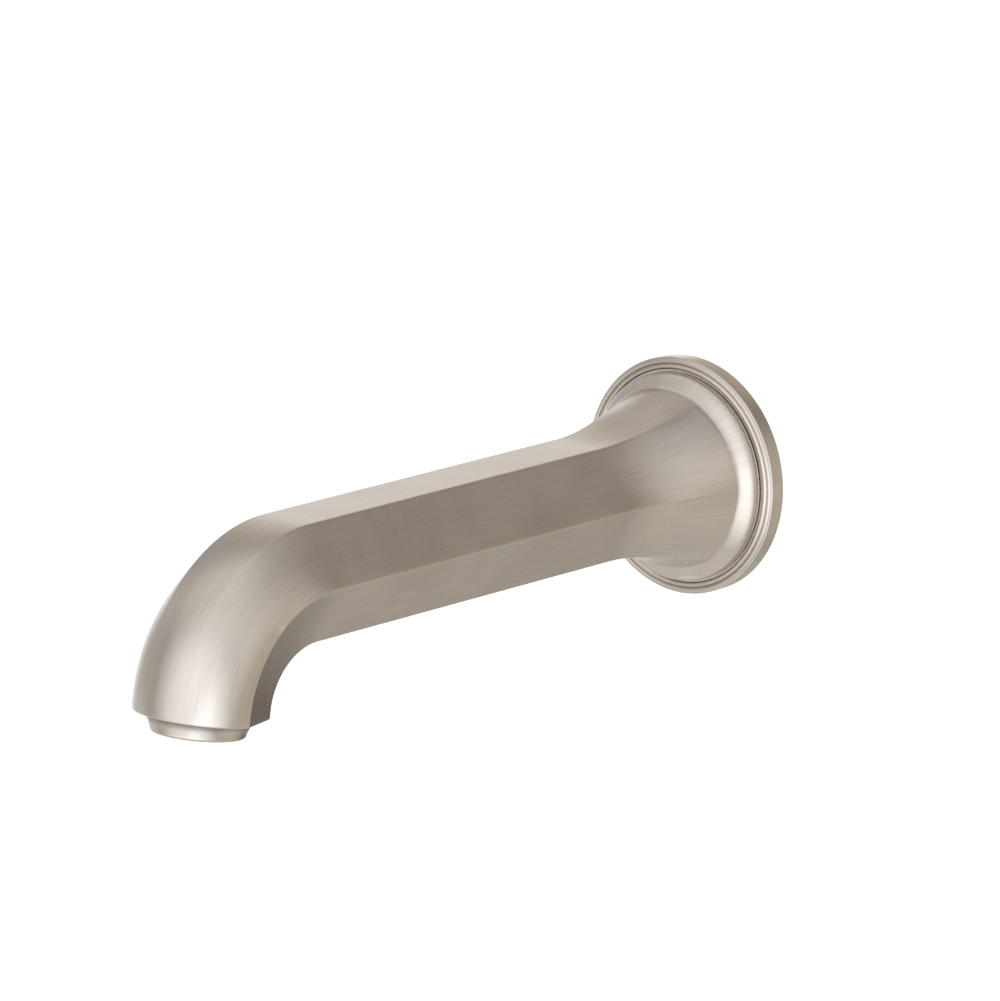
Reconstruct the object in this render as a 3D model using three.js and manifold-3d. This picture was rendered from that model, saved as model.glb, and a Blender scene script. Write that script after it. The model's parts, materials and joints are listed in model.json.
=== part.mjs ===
// Wall mounted bath spout: a cast brass spout on a round escutcheon, an inlet adapter that holds it to
// the supply pipe, and an aerator that screws into its outlet.
// Millimetres, +Z up. The finished wall is the plane y = 0 and the spout reaches towards -Y. The origin
// is where the supply pipe's axis meets the wall. The object is symmetric about x = 0.

import * as THREE from "three";
import { mergeVertices } from "three/addons/utils/BufferGeometryUtils.js";
import Module from "manifold-3d";

// ---------------------------------------------------------------- driving dimensions

// Fits: the gap between two pieces that touch or seat on each other.
const GAP = 0.3;

// Escutcheon, the round plate on the wall.
const ESCUTCHEON_RADIUS = 35;
const ESCUTCHEON_DEPTH = 5.1;
const ESCUTCHEON_SHEET = 1.6;
const ESCUTCHEON_SHOULDER = 1.5;
const BEAD_WIDTH = 1.15;
const BEAD_RISE = 0.45;
const BEAD_COUNT = 2;

// Spout base: a short cylindrical band, a rounded lip and a flare that dies into the arm.
const BASE_REVEAL = 4.3;
const BASE_BAND = 1.7;
const LIP_DEPTH = 2.9;
const LIP_FLARE = 0.72;
const CONE_FLARE = 0.23;
const CONE_LENGTH = 21;
const BLEND_LENGTH = 19;

// Arm section, six-sided: half-widths and heights of its three pairs of corners.
const TOP_HALF = 8.8;
const TOP_HEIGHT = 17.05;
const SIDE_HALF = 19.6;
const SIDE_HEIGHT = 0.5;
const UNDER_HALF = 12;
const UNDER_HEIGHT = -15.4;

// Arm route: straight out, round one bend, then a short tip. The section shrinks a little on the way.
const ARM_LENGTH = 168;
const ARM_TAPER = 0.03;
const BEND_RADIUS = 33.3;
const BEND_ANGLE = THREE.MathUtils.degToRad(81.5);
const TIP_LENGTH = 2.2;
const TIP_CHAMFER = 0.5;

// Round the bend the upper corners melt away, until the front of the outlet is a half round.
const FRONT_HEIGHT = 17.2;
const ROUNDING_START = THREE.MathUtils.degToRad(-4);
const ROUNDING_END = THREE.MathUtils.degToRad(64);

// Cast walls of the spout.
const BODY_WALL = 3;
const REGISTER_LENGTH = 4.2;
const REGISTER_WALL = 3;
const BOSS_WALL = 2.5;
const BOSS_SETBACK = 22;
const DRY_END = 38;
const WET_START = 47.6;

// Inlet adapter: a hexagon and barrel with a pipe thread socket, then a spigot with two seal grooves.
const SUPPLY_RADIUS = 10.2;
const SOCKET_DEPTH = 14;
const ADAPTER_SETBACK = 3;
const ADAPTER_WALL = 3.2;
const HEX_LENGTH = 8;
const SPIGOT_RADIUS = 11;
const SPIGOT_END = 46.6;
const ADAPTER_BORE = 6.5;
const SPIGOT_WALL_STEP = 2.4;
const HEX_CLEARANCE = 2.4;
const ADAPTER_CHAMFER = 1;

// Seals: radius of each round section, and the seat round it.
const SPIGOT_SEAL = 0.75;
const SPIGOT_SEAL_PLACES = { rear: 37.4, front: 42.6 };
const BASE_SEAL = 0.8;
const SUPPLY_WASHER = 2;
const GASKET_INSET = 1.2;

// Set screw, M6, up into the adapter's groove from under the flare.
const SCREW_RADIUS = 3;
const SCREW_LENGTH = 8;
const SCREW_PLACE = 29;
const SCREW_SOCKET = 1.73;
const SCREW_SOCKET_DEPTH = 3.5;
const SCREW_GROOVE_DEPTH = 1.8;
const SCREW_PAD_WALL = 2.4;
const SCREW_CHAMFER = 0.4;
const SCREW_POINT_RADIUS = 1.8;
const SCREW_POINT_HEIGHT = 1.5;

// Aerator, M24 x 1. Its own frame has y = 0 on the outlet's rim and +Y up into the spout.
const AERATOR_THREAD = 12;
const AERATOR_COLLAR_STEP = 2.4;
const AERATOR_COLLAR_TAPER = 1.5;
const AERATOR_DROP = 4.9;
const AERATOR_ROUND = 0.9;
const AERATOR_BARREL = 5.4;
const AERATOR_SHELL_WALL = 1.1;
const AERATOR_LIP = 1.5;
const AERATOR_LIP_HEIGHT = 1.2;
const THREAD_CHAMFER = 0.5;
const HOUSING_WALL = 1.1;
const HOUSING_LIP = 0.9;
const HOUSING_FLANGE = 0.8;
const AERATOR_WASHER = 1.6;
const AERATOR_WASHER_WIDTH = 2.7;
const OUTLET_WEB = 2.5;

// The discs inside the aerator, from the mouth upwards. Ring shares are of the discs' own radius.
const STRAIGHTENER_HEIGHT = 2.2;
const STRAIGHTENER_PITCH = 3.1;
const STRAIGHTENER_CELL = 1.5;
const STRAIGHTENER_RIM = 0.4;
const SCREEN_HEIGHT = 0.6;
const SCREEN_PITCH = 2;
const SCREEN_WIRE = 0.55;
const SCREEN_RIM = 0.7;
const SPLITTER_HEIGHT = 0.9;
const SPLITTER_HOLES = 10;
const SPLITTER_HOLE_RADIUS = 1.15;
const SPLITTER_RING_SHARE = 0.68;
const SPLITTER_CONE_SHARE = 0.4;
const SPLITTER_CONE_SINK = 0.2;
const JET_PLATE_HEIGHT = 1.3;
const JET_RADIUS = 0.6;
const JET_RINGS = [
  { count: 12, share: 0.8 },
  { count: 6, share: 0.48 },
];
const STRAINER_FLANGE = 0.8;
const STRAINER_RISE = 4;
const STRAINER_WALL = 0.8;
const STRAINER_CLEARANCE = 0.7;
const STRAINER_SLOTS = 8;
const STRAINER_SLOT_WIDTH = 0.9;
const STRAINER_SLOT_HEIGHT = 1.8;
const STRAINER_SLOT_PLACE = 1.4;

// Facets: sides of turned pieces, steps along each curve, and how far a cutter passes through a face.
const ROUND_SIDES = 40;
const SMALL_SIDES = 24;
const SEAL_STEPS = 8;
const EDGE_STEPS = 4;
const LIP_STEPS = 5;
const CONE_STEPS = 3;
const BLEND_STEPS = 6;
const TOP_STEPS = 3;
const UPPER_STEPS = 4;
const LOWER_STEPS = 4;
const UNDER_STEPS = 3;
const BEND_STEPS = 11;
const PIERCE = 1;
const MERGE_DISTANCE = 1e-4;

// ---------------------------------------------------------------- sizes that follow from them

const BASE_RADIUS = ESCUTCHEON_RADIUS - BASE_REVEAL;
const BASE_REAR = ESCUTCHEON_DEPTH + GAP;
const LIP_START = BASE_REAR + BASE_BAND;
const CONE_START = LIP_START + LIP_DEPTH;
const BLEND_START = CONE_START + CONE_LENGTH;
const FLARE_END = BLEND_START + BLEND_LENGTH;
const ROUTE_LENGTH = ARM_LENGTH + BEND_RADIUS * BEND_ANGLE + TIP_LENGTH;
const BARREL_RADIUS = SUPPLY_RADIUS + ADAPTER_WALL;
const HEX_RADIUS = BARREL_RADIUS / Math.cos(Math.PI / 6);
const BARREL_END = ADAPTER_SETBACK + SOCKET_DEPTH + SPIGOT_WALL_STEP;
const REGISTER_INNER = HEX_RADIUS + HEX_CLEARANCE;
const REGISTER_OUTER = REGISTER_INNER + REGISTER_WALL;
const ESCUTCHEON_HOLE = REGISTER_OUTER + GAP;
const BASE_SEAL_RADIUS = (REGISTER_OUTER + BASE_RADIUS) / 2;
const BORE_RADIUS = SPIGOT_RADIUS + GAP;
const BOSS_RADIUS = BORE_RADIUS + BOSS_WALL;
const SPIGOT_GROOVE = BORE_RADIUS - 2 * (SPIGOT_SEAL + GAP);
const OUTLET_BORE = AERATOR_THREAD + GAP;
const HOUSING_RADIUS = AERATOR_THREAD - AERATOR_SHELL_WALL - GAP;
const STACK_RADIUS = HOUSING_RADIUS - HOUSING_WALL - GAP;
const HOUSING_BOTTOM = -AERATOR_DROP + AERATOR_LIP_HEIGHT + GAP;
const FLANGE_BOTTOM = AERATOR_BARREL + GAP;
const WASHER_BOTTOM = FLANGE_BOTTOM + HOUSING_FLANGE + GAP;
const OUTLET_SHOULDER = WASHER_BOTTOM + AERATOR_WASHER + GAP;
const WASHER_INNER = AERATOR_THREAD - AERATOR_WASHER_WIDTH;
const WET_END = ROUTE_LENGTH - OUTLET_SHOULDER - OUTLET_WEB;

// ---------------------------------------------------------------- solids

const wasm = await Module();
wasm.setup();

// A closed three.js geometry as a solid that can be joined and cut.
function solidOf(geometry) {
  const bare = geometry.clone();
  bare.deleteAttribute("normal");
  bare.deleteAttribute("uv");
  const merged = mergeVertices(bare, MERGE_DISTANCE);
  const corners = merged.index.array;
  const kept = [];
  for (let i = 0; i < corners.length; i += 3) {
    const [a, b, c] = [corners[i], corners[i + 1], corners[i + 2]];
    const isFlat = a === b || b === c || c === a;
    if (!isFlat) {
      kept.push(a, b, c);
    }
  }
  return new wasm.Manifold(
    new wasm.Mesh({
      numProp: 3,
      vertProperties: merged.attributes.position.array,
      triVerts: Uint32Array.from(kept),
    }),
  );
}

function geometryOf(solid) {
  const mesh = solid.getMesh();
  const geometry = new THREE.BufferGeometry();
  geometry.setAttribute("position", new THREE.BufferAttribute(mesh.vertProperties, 3));
  geometry.setIndex(new THREE.BufferAttribute(mesh.triVerts, 1));
  geometry.computeVertexNormals();
  return geometry;
}

// A closed outline of [radius, height] points turned about the Y axis.
function turned(outline, sides = ROUND_SIDES) {
  const points = outline.map(([radius, height]) => new THREE.Vector2(radius, height));
  if (THREE.ShapeUtils.area(points) < 0) points.reverse();
  points.push(points[0].clone());
  return new THREE.LatheGeometry(points, sides);
}

// A washer or tube about the Y axis; an inner radius of 0 makes a plain cylinder.
function tube(inner, outer, low, high, sides = ROUND_SIDES) {
  const outline = [
    [inner, low],
    [outer, low],
    [outer, high],
    [inner, high],
  ];
  return turned(outline, sides);
}

// A ring of round section about the Y axis.
function roundRing(ringRadius, sectionRadius, height, sides = SMALL_SIDES) {
  const outline = [];
  for (let i = 0; i < SEAL_STEPS; i += 1) {
    const angle = (i / SEAL_STEPS) * 2 * Math.PI;
    outline.push([
      ringRadius + sectionRadius * Math.cos(angle),
      height + sectionRadius * Math.sin(angle),
    ]);
  }
  return turned(outline, sides);
}

// A flat plate about the Y axis, from low to high, with the given closed paths cut through it.
function piercedPlate(radius, low, high, holes, sides = SMALL_SIDES) {
  const shape = new THREE.Shape();
  shape.absarc(0, 0, radius, 0, 2 * Math.PI, false);
  shape.holes = holes;
  const options = { depth: high - low, bevelEnabled: false, curveSegments: sides };
  const plate = new THREE.ExtrudeGeometry(shape, options);
  plate.rotateX(-Math.PI / 2);
  plate.translate(0, low, 0);
  return plate;
}

// A closed path with equal sides round a point, used as a hole.
function roundHole(x, y, radius, sides, turn = 0) {
  const corners = [];
  for (let i = 0; i < sides; i += 1) {
    const angle = turn - (i / sides) * 2 * Math.PI;
    corners.push(new THREE.Vector2(x + radius * Math.cos(angle), y + radius * Math.sin(angle)));
  }
  return new THREE.Path(corners);
}

// ---------------------------------------------------------------- the spout's shape

const topMiddle = new THREE.Vector2(0, TOP_HEIGHT);
const topCorner = new THREE.Vector2(TOP_HALF, TOP_HEIGHT);
const sideCorner = new THREE.Vector2(SIDE_HALF, SIDE_HEIGHT);
const underCorner = new THREE.Vector2(UNDER_HALF, UNDER_HEIGHT);
const underMiddle = new THREE.Vector2(0, UNDER_HEIGHT);

// The point of the half round above the side corners that lies the same way out as this point.
function roundedPoint(point) {
  const rise = FRONT_HEIGHT - SIDE_HEIGHT;
  const reach = Math.hypot(point.x / SIDE_HALF, (point.y - SIDE_HEIGHT) / rise);
  return new THREE.Vector2(point.x / reach, SIDE_HEIGHT + (point.y - SIDE_HEIGHT) / reach);
}

// Points at even steps along a side, without its first end.
function between(from, to, steps) {
  const points = [];
  for (let i = 1; i <= steps; i += 1) {
    points.push(from.clone().lerp(to, i / steps));
  }
  return points;
}

// Half of the arm's section, from the middle of the top to the middle of the underside. A rounding
// of 0 is the plain six-sided section and 1 has the half round front.
function halfSection(rounding) {
  const upper = [topMiddle, ...between(topMiddle, topCorner, TOP_STEPS)];
  upper.push(...between(topCorner, sideCorner, UPPER_STEPS));
  const points = upper.map((point) => point.clone().lerp(roundedPoint(point), rounding));
  points.push(...between(sideCorner, underCorner, LOWER_STEPS));
  points.push(...between(underCorner, underMiddle, UNDER_STEPS));
  return points;
}

// The whole section in order: top, -X side, underside, +X side.
function section(rounding) {
  const half = halfSection(rounding);
  const left = half.map((point) => new THREE.Vector2(-point.x, point.y));
  const right = half.slice(1, -1).reverse();
  return [...left, ...right];
}

// Each point of a closed convex outline moved inwards, square to its two sides.
function insetOutline(points, distance) {
  return points.map((point, i) => {
    const before = points[(i + points.length - 1) % points.length];
    const after = points[(i + 1) % points.length];
    const first = new THREE.Vector2(before.y - point.y, point.x - before.x).normalize();
    const second = new THREE.Vector2(point.y - after.y, after.x - point.x).normalize();
    const inward = first.clone().add(second).normalize();
    return point.clone().addScaledVector(inward, distance / inward.dot(first));
  });
}

// How far the flare has spread at this distance from the wall: 0 is the arm, 1 is the round base.
function flareAt(s) {
  if (s >= FLARE_END) {
    return 0;
  }
  if (s >= BLEND_START) {
    return CONE_FLARE * ((FLARE_END - s) / BLEND_LENGTH) ** 2;
  }
  if (s >= CONE_START) {
    const share = (BLEND_START - s) / CONE_LENGTH;
    return CONE_FLARE + (LIP_FLARE - CONE_FLARE) * share;
  }
  const rise = Math.min((CONE_START - s) / LIP_DEPTH, 1);
  return LIP_FLARE + (1 - LIP_FLARE) * Math.sqrt(rise * (2 - rise));
}

// The arm's section where the route has run s millimetres from the wall.
function sectionAt(s, flare = flareAt(s)) {
  const bend = (s - ARM_LENGTH) / BEND_RADIUS;
  const rounding = THREE.MathUtils.smoothstep(bend, ROUNDING_START, ROUNDING_END);
  const taper = 1 - ARM_TAPER * Math.max(s - FLARE_END, 0) / (ROUTE_LENGTH - FLARE_END);
  return section(rounding).map((point) => {
    const round = point.clone().setLength(BASE_RADIUS);
    return point.clone().multiplyScalar(taper).lerp(round, flare);
  });
}

// The route's centre and its bend so far.
function routeAt(s) {
  const bend = THREE.MathUtils.clamp((s - ARM_LENGTH) / BEND_RADIUS, 0, BEND_ANGLE);
  const tip = Math.max(s - ARM_LENGTH - BEND_RADIUS * BEND_ANGLE, 0);
  const y = -Math.min(s, ARM_LENGTH) - BEND_RADIUS * Math.sin(bend) - tip * Math.cos(bend);
  const z = BEND_RADIUS * (Math.cos(bend) - 1) - tip * Math.sin(bend);
  return { y, z, bend };
}

// A closed skin through sections: a capped cylinder whose rings are moved onto them.
function loft(stations) {
  const sides = stations[0].outline.length;
  const last = stations.length - 1;
  const skin = new THREE.CylinderGeometry(1, 1, last, sides, last);
  const place = skin.attributes.position;
  for (let i = 0; i < place.count; i += 1) {
    const station = stations[Math.round(place.getY(i) + last / 2)];
    const { y, z, bend } = routeAt(station.s);
    const isCentre = Math.hypot(place.getX(i), place.getZ(i)) < 0.5;
    const turn = Math.atan2(place.getX(i), place.getZ(i)) / (2 * Math.PI);
    const corner = station.outline[(Math.round(turn * sides) + sides) % sides];
    const point = isCentre ? new THREE.Vector2() : corner;
    const height = point.y;
    place.setXYZ(i, point.x, y - height * Math.sin(bend), z + height * Math.cos(bend));
  }
  return skin;
}

// Distances along the route that follow the lip's rounding.
function lipPlaces() {
  const places = [];
  for (let i = 0; i <= LIP_STEPS; i += 1) {
    const angle = (i / LIP_STEPS) * (Math.PI / 2);
    places.push(LIP_START + LIP_DEPTH * (1 - Math.cos(angle)));
  }
  return places;
}

function evenPlaces(from, to, steps) {
  const places = [];
  for (let i = 1; i <= steps; i += 1) {
    places.push(from + ((to - from) * i) / steps);
  }
  return places;
}

// Outside of the spout, from the face on the escutcheon to the chamfered outlet rim.
function outerSkin() {
  const bendEnd = ARM_LENGTH + BEND_RADIUS * BEND_ANGLE;
  const places = [BASE_REAR];
  places.push(...lipPlaces());
  places.push(...evenPlaces(CONE_START, BLEND_START, CONE_STEPS));
  places.push(...evenPlaces(BLEND_START, FLARE_END, BLEND_STEPS));
  places.push(ARM_LENGTH);
  places.push(...evenPlaces(ARM_LENGTH, bendEnd, BEND_STEPS));
  places.push(ROUTE_LENGTH - TIP_CHAMFER);
  const stations = places.map((s) => ({ s, outline: sectionAt(s) }));
  const rim = insetOutline(sectionAt(ROUTE_LENGTH), TIP_CHAMFER);
  stations.push({ s: ROUTE_LENGTH, outline: rim });
  return loft(stations);
}

// A hollow that keeps the cast wall between two places on the route.
function hollow(places, deepestFlare) {
  const stations = places.map((s) => {
    const flare = Math.min(flareAt(s), deepestFlare);
    return { s, outline: insetOutline(sectionAt(s, flare), BODY_WALL) };
  });
  return solidOf(loft(stations));
}

// A cylinder about the supply axis between two distances from the wall.
function supplyPlug(radius, near, far) {
  return solidOf(tube(0, radius, -far, -near, SMALL_SIDES));
}

// A cylinder on the set screw's axis, between two depths below the supply axis.
function screwPlug(radius, near, far) {
  const plug = tube(0, radius, near, far, SMALL_SIDES);
  plug.rotateX(-Math.PI / 2);
  plug.translate(0, -SCREW_PLACE, 0);
  return solidOf(plug);
}

// ---------------------------------------------------------------- finishes

const finishes = {
  nickel: { color: 0xb8aea2, roughness: 0.34, metalness: 1 },
  brass: { color: 0xb5924c, roughness: 0.42, metalness: 1 },
  steel: { color: 0x8f9092, roughness: 0.38, metalness: 1 },
  rubber: { color: 0x1b1b1c, roughness: 0.75, metalness: 0 },
  foam: { color: 0x55565a, roughness: 0.95, metalness: 0 },
  whitePlastic: { color: 0xdcdcd6, roughness: 0.5, metalness: 0 },
  greyPlastic: { color: 0x8b9094, roughness: 0.5, metalness: 0 },
};

const faucet = new THREE.Group();
const aerator = new THREE.Group();
const outlet = routeAt(ROUTE_LENGTH);
aerator.position.set(0, outlet.y, outlet.z);
aerator.rotation.x = BEND_ANGLE;
faucet.add(aerator);

function piece(parent, name, finish, geometry) {
  const material = new THREE.MeshStandardMaterial(finishes[finish]);
  const mesh = new THREE.Mesh(geometry, material);
  mesh.name = name;
  parent.add(mesh);
  return mesh;
}

// ---------------------------------------------------------------- spout body

function spoutBody() {
  let body = solidOf(outerSkin());
  const outside = body;
  const registerEnd = -BASE_REAR + REGISTER_LENGTH;
  const register = tube(REGISTER_INNER, REGISTER_OUTER, -BASE_REAR - PIERCE, registerEnd);
  body = body.add(solidOf(register));

  // Dry hollow behind the flare, open at the back, with the inlet boss and the screw's pad left in it.
  const dryPlaces = [CONE_START - PIERCE, CONE_START, BLEND_START];
  dryPlaces.push(...evenPlaces(BLEND_START, DRY_END, 2));
  let dry = hollow(dryPlaces, LIP_FLARE);
  dry = dry.add(supplyPlug(REGISTER_INNER, BASE_REAR - REGISTER_LENGTH - PIERCE, CONE_START));
  dry = dry.subtract(supplyPlug(BOSS_RADIUS, BOSS_SETBACK, DRY_END + PIERCE));
  const pad = screwPlug(SCREW_RADIUS + GAP + SCREW_PAD_WALL, BORE_RADIUS, BASE_RADIUS);
  dry = dry.subtract(pad.intersect(outside));
  body = body.subtract(dry);

  // Waterway through the arm, and the bores at its two ends.
  const bendEnd = ARM_LENGTH + BEND_RADIUS * BEND_ANGLE;
  const wetPlaces = [WET_START, FLARE_END, ARM_LENGTH];
  evenPlaces(ARM_LENGTH, bendEnd, BEND_STEPS)
    .filter((s) => s < WET_END - PIERCE)
    .forEach((s) => wetPlaces.push(s));
  wetPlaces.push(WET_END);
  body = body.subtract(hollow(wetPlaces, 1));
  body = body.subtract(supplyPlug(BORE_RADIUS, BOSS_SETBACK - PIERCE, WET_START + PIERCE));
  for (const [radius, high] of [
    [OUTLET_BORE, OUTLET_SHOULDER],
    [WASHER_INNER + GAP, OUTLET_SHOULDER + OUTLET_WEB + PIERCE],
  ]) {
    const bore = tube(0, radius, -PIERCE, high, SMALL_SIDES);
    bore.rotateX(BEND_ANGLE);
    bore.translate(0, outlet.y, outlet.z);
    body = body.subtract(solidOf(bore));
  }

  // Groove for the base seal, and the set screw's hole.
  const sealHalf = BASE_SEAL + GAP;
  const groove = tube(
    BASE_SEAL_RADIUS - sealHalf,
    BASE_SEAL_RADIUS + sealHalf,
    -BASE_REAR - 2 * BASE_SEAL,
    -BASE_REAR + PIERCE,
  );
  body = body.subtract(solidOf(groove));
  body = body.subtract(screwPlug(SCREW_RADIUS + GAP, SPIGOT_GROOVE, BASE_RADIUS));
  return geometryOf(body);
}

// ---------------------------------------------------------------- escutcheon and its seals

// Front edge of the plate: a rounded shoulder, then the raised beads up to the spout's base.
function escutcheonFront() {
  const points = [];
  const shoulderCentre = -(ESCUTCHEON_DEPTH - ESCUTCHEON_SHOULDER);
  for (let i = 0; i <= EDGE_STEPS; i += 1) {
    const angle = (i / EDGE_STEPS) * (Math.PI / 2);
    const radius = ESCUTCHEON_RADIUS - ESCUTCHEON_SHOULDER * (1 - Math.cos(angle));
    points.push([radius, shoulderCentre - ESCUTCHEON_SHOULDER * Math.sin(angle)]);
  }
  let edge = ESCUTCHEON_RADIUS - ESCUTCHEON_SHOULDER;
  for (let bead = 0; bead < BEAD_COUNT; bead += 1) {
    for (let i = 1; i <= EDGE_STEPS; i += 1) {
      const rise = BEAD_RISE * Math.sin((i / EDGE_STEPS) * Math.PI);
      points.push([edge - (BEAD_WIDTH * i) / EDGE_STEPS, -ESCUTCHEON_DEPTH - rise]);
    }
    edge -= BEAD_WIDTH;
  }
  return points;
}

function wallEscutcheon() {
  const innerRim = ESCUTCHEON_RADIUS - ESCUTCHEON_SHEET;
  const plateBack = -ESCUTCHEON_DEPTH + ESCUTCHEON_SHEET;
  const outline = [[ESCUTCHEON_RADIUS, 0]];
  outline.push(...escutcheonFront());
  outline.push([ESCUTCHEON_HOLE, -ESCUTCHEON_DEPTH]);
  outline.push([ESCUTCHEON_HOLE, plateBack]);
  outline.push([innerRim, plateBack]);
  outline.push([innerRim, 0]);
  return turned(outline);
}

function wallGasket() {
  const outer = ESCUTCHEON_RADIUS - ESCUTCHEON_SHEET - GAP;
  const front = -(ESCUTCHEON_DEPTH - ESCUTCHEON_SHEET - GAP);
  return tube(ESCUTCHEON_HOLE + GASKET_INSET, outer, front, 0);
}

function baseSeal() {
  return roundRing(BASE_SEAL_RADIUS, BASE_SEAL, -BASE_REAR - BASE_SEAL + GAP / 2, ROUND_SIDES);
}

// ---------------------------------------------------------------- inlet adapter and its seals

// The adapter's spigot, from the barrel to its nose, with the screw's groove and the seal grooves.
function spigotOutline() {
  const grooveHalf = SCREW_RADIUS + GAP;
  const floorHalf = grooveHalf - SCREW_GROOVE_DEPTH / 2;
  const grooveFloor = SPIGOT_RADIUS - SCREW_GROOVE_DEPTH;
  const outline = [
    [SPIGOT_RADIUS, -BARREL_END],
    [SPIGOT_RADIUS, -SCREW_PLACE + grooveHalf],
    [grooveFloor, -SCREW_PLACE + floorHalf],
    [grooveFloor, -SCREW_PLACE - floorHalf],
    [SPIGOT_RADIUS, -SCREW_PLACE - grooveHalf],
  ];
  const sealHalf = SPIGOT_SEAL + GAP;
  for (const place of Object.values(SPIGOT_SEAL_PLACES)) {
    outline.push([SPIGOT_RADIUS, -place + sealHalf]);
    outline.push([SPIGOT_GROOVE, -place + sealHalf]);
    outline.push([SPIGOT_GROOVE, -place - sealHalf]);
    outline.push([SPIGOT_RADIUS, -place - sealHalf]);
  }
  outline.push([SPIGOT_RADIUS, -SPIGOT_END + ADAPTER_CHAMFER]);
  outline.push([SPIGOT_RADIUS - ADAPTER_CHAMFER, -SPIGOT_END]);
  return outline;
}

function inletAdapter() {
  const socketEnd = ADAPTER_SETBACK + SOCKET_DEPTH;
  const outline = [
    [SUPPLY_RADIUS + ADAPTER_CHAMFER, -ADAPTER_SETBACK],
    [BARREL_RADIUS, -ADAPTER_SETBACK],
    [BARREL_RADIUS, -BARREL_END + ADAPTER_CHAMFER],
    [BARREL_RADIUS - ADAPTER_CHAMFER, -BARREL_END],
  ];
  outline.push(...spigotOutline());
  outline.push([ADAPTER_BORE, -SPIGOT_END]);
  outline.push([ADAPTER_BORE, -socketEnd]);
  outline.push([SUPPLY_RADIUS, -socketEnd]);
  outline.push([SUPPLY_RADIUS, -ADAPTER_SETBACK - ADAPTER_CHAMFER]);
  const hexagon = new THREE.CylinderGeometry(HEX_RADIUS, HEX_RADIUS, HEX_LENGTH, 6);
  hexagon.translate(0, -ADAPTER_SETBACK - PIERCE - HEX_LENGTH / 2, 0);
  const hexRing = solidOf(hexagon).subtract(supplyPlug(BARREL_RADIUS - PIERCE, 0, BARREL_END));
  return geometryOf(solidOf(turned(outline, SMALL_SIDES)).add(hexRing));
}

function spigotSeal(place) {
  return roundRing((BORE_RADIUS + SPIGOT_GROOVE) / 2, SPIGOT_SEAL, -place);
}

function supplyWasher() {
  const seat = -ADAPTER_SETBACK - SOCKET_DEPTH + GAP;
  return tube(ADAPTER_BORE, SUPPLY_RADIUS - GAP, seat, seat + SUPPLY_WASHER);
}

// The screw stands on its own axis, point up, with its point in the adapter's groove.
function setScrew() {
  const point = SPIGOT_RADIUS - SCREW_GROOVE_DEPTH + GAP;
  const outline = [
    [0, point],
    [SCREW_POINT_RADIUS, point],
    [SCREW_RADIUS, point + SCREW_POINT_HEIGHT],
    [SCREW_RADIUS, point + SCREW_LENGTH - SCREW_CHAMFER],
    [SCREW_RADIUS - SCREW_CHAMFER, point + SCREW_LENGTH],
    [0, point + SCREW_LENGTH],
  ];
  const key = new THREE.CylinderGeometry(SCREW_SOCKET, SCREW_SOCKET, 2 * SCREW_SOCKET_DEPTH, 6);
  key.translate(0, point + SCREW_LENGTH, 0);
  const screw = geometryOf(solidOf(turned(outline, SMALL_SIDES)).subtract(solidOf(key)));
  screw.rotateX(-Math.PI / 2);
  return screw;
}

// ---------------------------------------------------------------- aerator

function aeratorShell() {
  const top = AERATOR_THREAD + AERATOR_COLLAR_STEP;
  const foot = top - AERATOR_COLLAR_TAPER;
  const bore = AERATOR_THREAD - AERATOR_SHELL_WALL;
  const mouth = bore - AERATOR_LIP;
  const outline = [
    [mouth, -AERATOR_DROP + AERATOR_LIP_HEIGHT],
    [mouth, -AERATOR_DROP],
  ];
  for (let i = 0; i <= EDGE_STEPS; i += 1) {
    const angle = (i / EDGE_STEPS) * (Math.PI / 2);
    outline.push([
      foot - AERATOR_ROUND * (1 - Math.sin(angle)),
      -AERATOR_DROP + AERATOR_ROUND * (1 - Math.cos(angle)),
    ]);
  }
  outline.push([top, -GAP]);
  outline.push([AERATOR_THREAD, -GAP]);
  outline.push([AERATOR_THREAD, AERATOR_BARREL - THREAD_CHAMFER]);
  outline.push([AERATOR_THREAD - THREAD_CHAMFER, AERATOR_BARREL]);
  outline.push([bore, AERATOR_BARREL]);
  outline.push([bore, -AERATOR_DROP + AERATOR_LIP_HEIGHT]);
  return turned(outline);
}

function aeratorHousing() {
  const inner = HOUSING_RADIUS - HOUSING_WALL;
  const flangeTop = FLANGE_BOTTOM + HOUSING_FLANGE;
  return turned([
    [inner - HOUSING_LIP, HOUSING_BOTTOM],
    [HOUSING_RADIUS, HOUSING_BOTTOM],
    [HOUSING_RADIUS, FLANGE_BOTTOM],
    [AERATOR_THREAD - GAP, FLANGE_BOTTOM],
    [AERATOR_THREAD - GAP, flangeTop],
    [inner, flangeTop],
    [inner, HOUSING_BOTTOM + HOUSING_LIP],
    [inner - HOUSING_LIP, HOUSING_BOTTOM + HOUSING_LIP],
  ]);
}

function aeratorWasher() {
  return tube(WASHER_INNER, AERATOR_THREAD - GAP, WASHER_BOTTOM, WASHER_BOTTOM + AERATOR_WASHER);
}

// Cells on rows that are offset by half a cell, kept inside a radius.
function hexCells(pitch, hole, reach) {
  const cells = [];
  const rowHeight = pitch * Math.sin(Math.PI / 3);
  const rows = Math.ceil(reach / rowHeight);
  for (let row = -rows; row <= rows; row += 1) {
    for (let column = -rows - 1; column <= rows + 1; column += 1) {
      const x = (column + Math.abs(row % 2) / 2) * pitch;
      const y = row * rowHeight;
      if (Math.hypot(x, y) + hole <= reach) {
        cells.push(roundHole(x, y, hole, 6, Math.PI / 6));
      }
    }
  }
  return cells;
}

function straightener(low) {
  const reach = STACK_RADIUS - STRAIGHTENER_RIM;
  const cells = hexCells(STRAIGHTENER_PITCH, STRAIGHTENER_CELL, reach);
  return piercedPlate(STACK_RADIUS, low, low + STRAIGHTENER_HEIGHT, cells);
}

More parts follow.
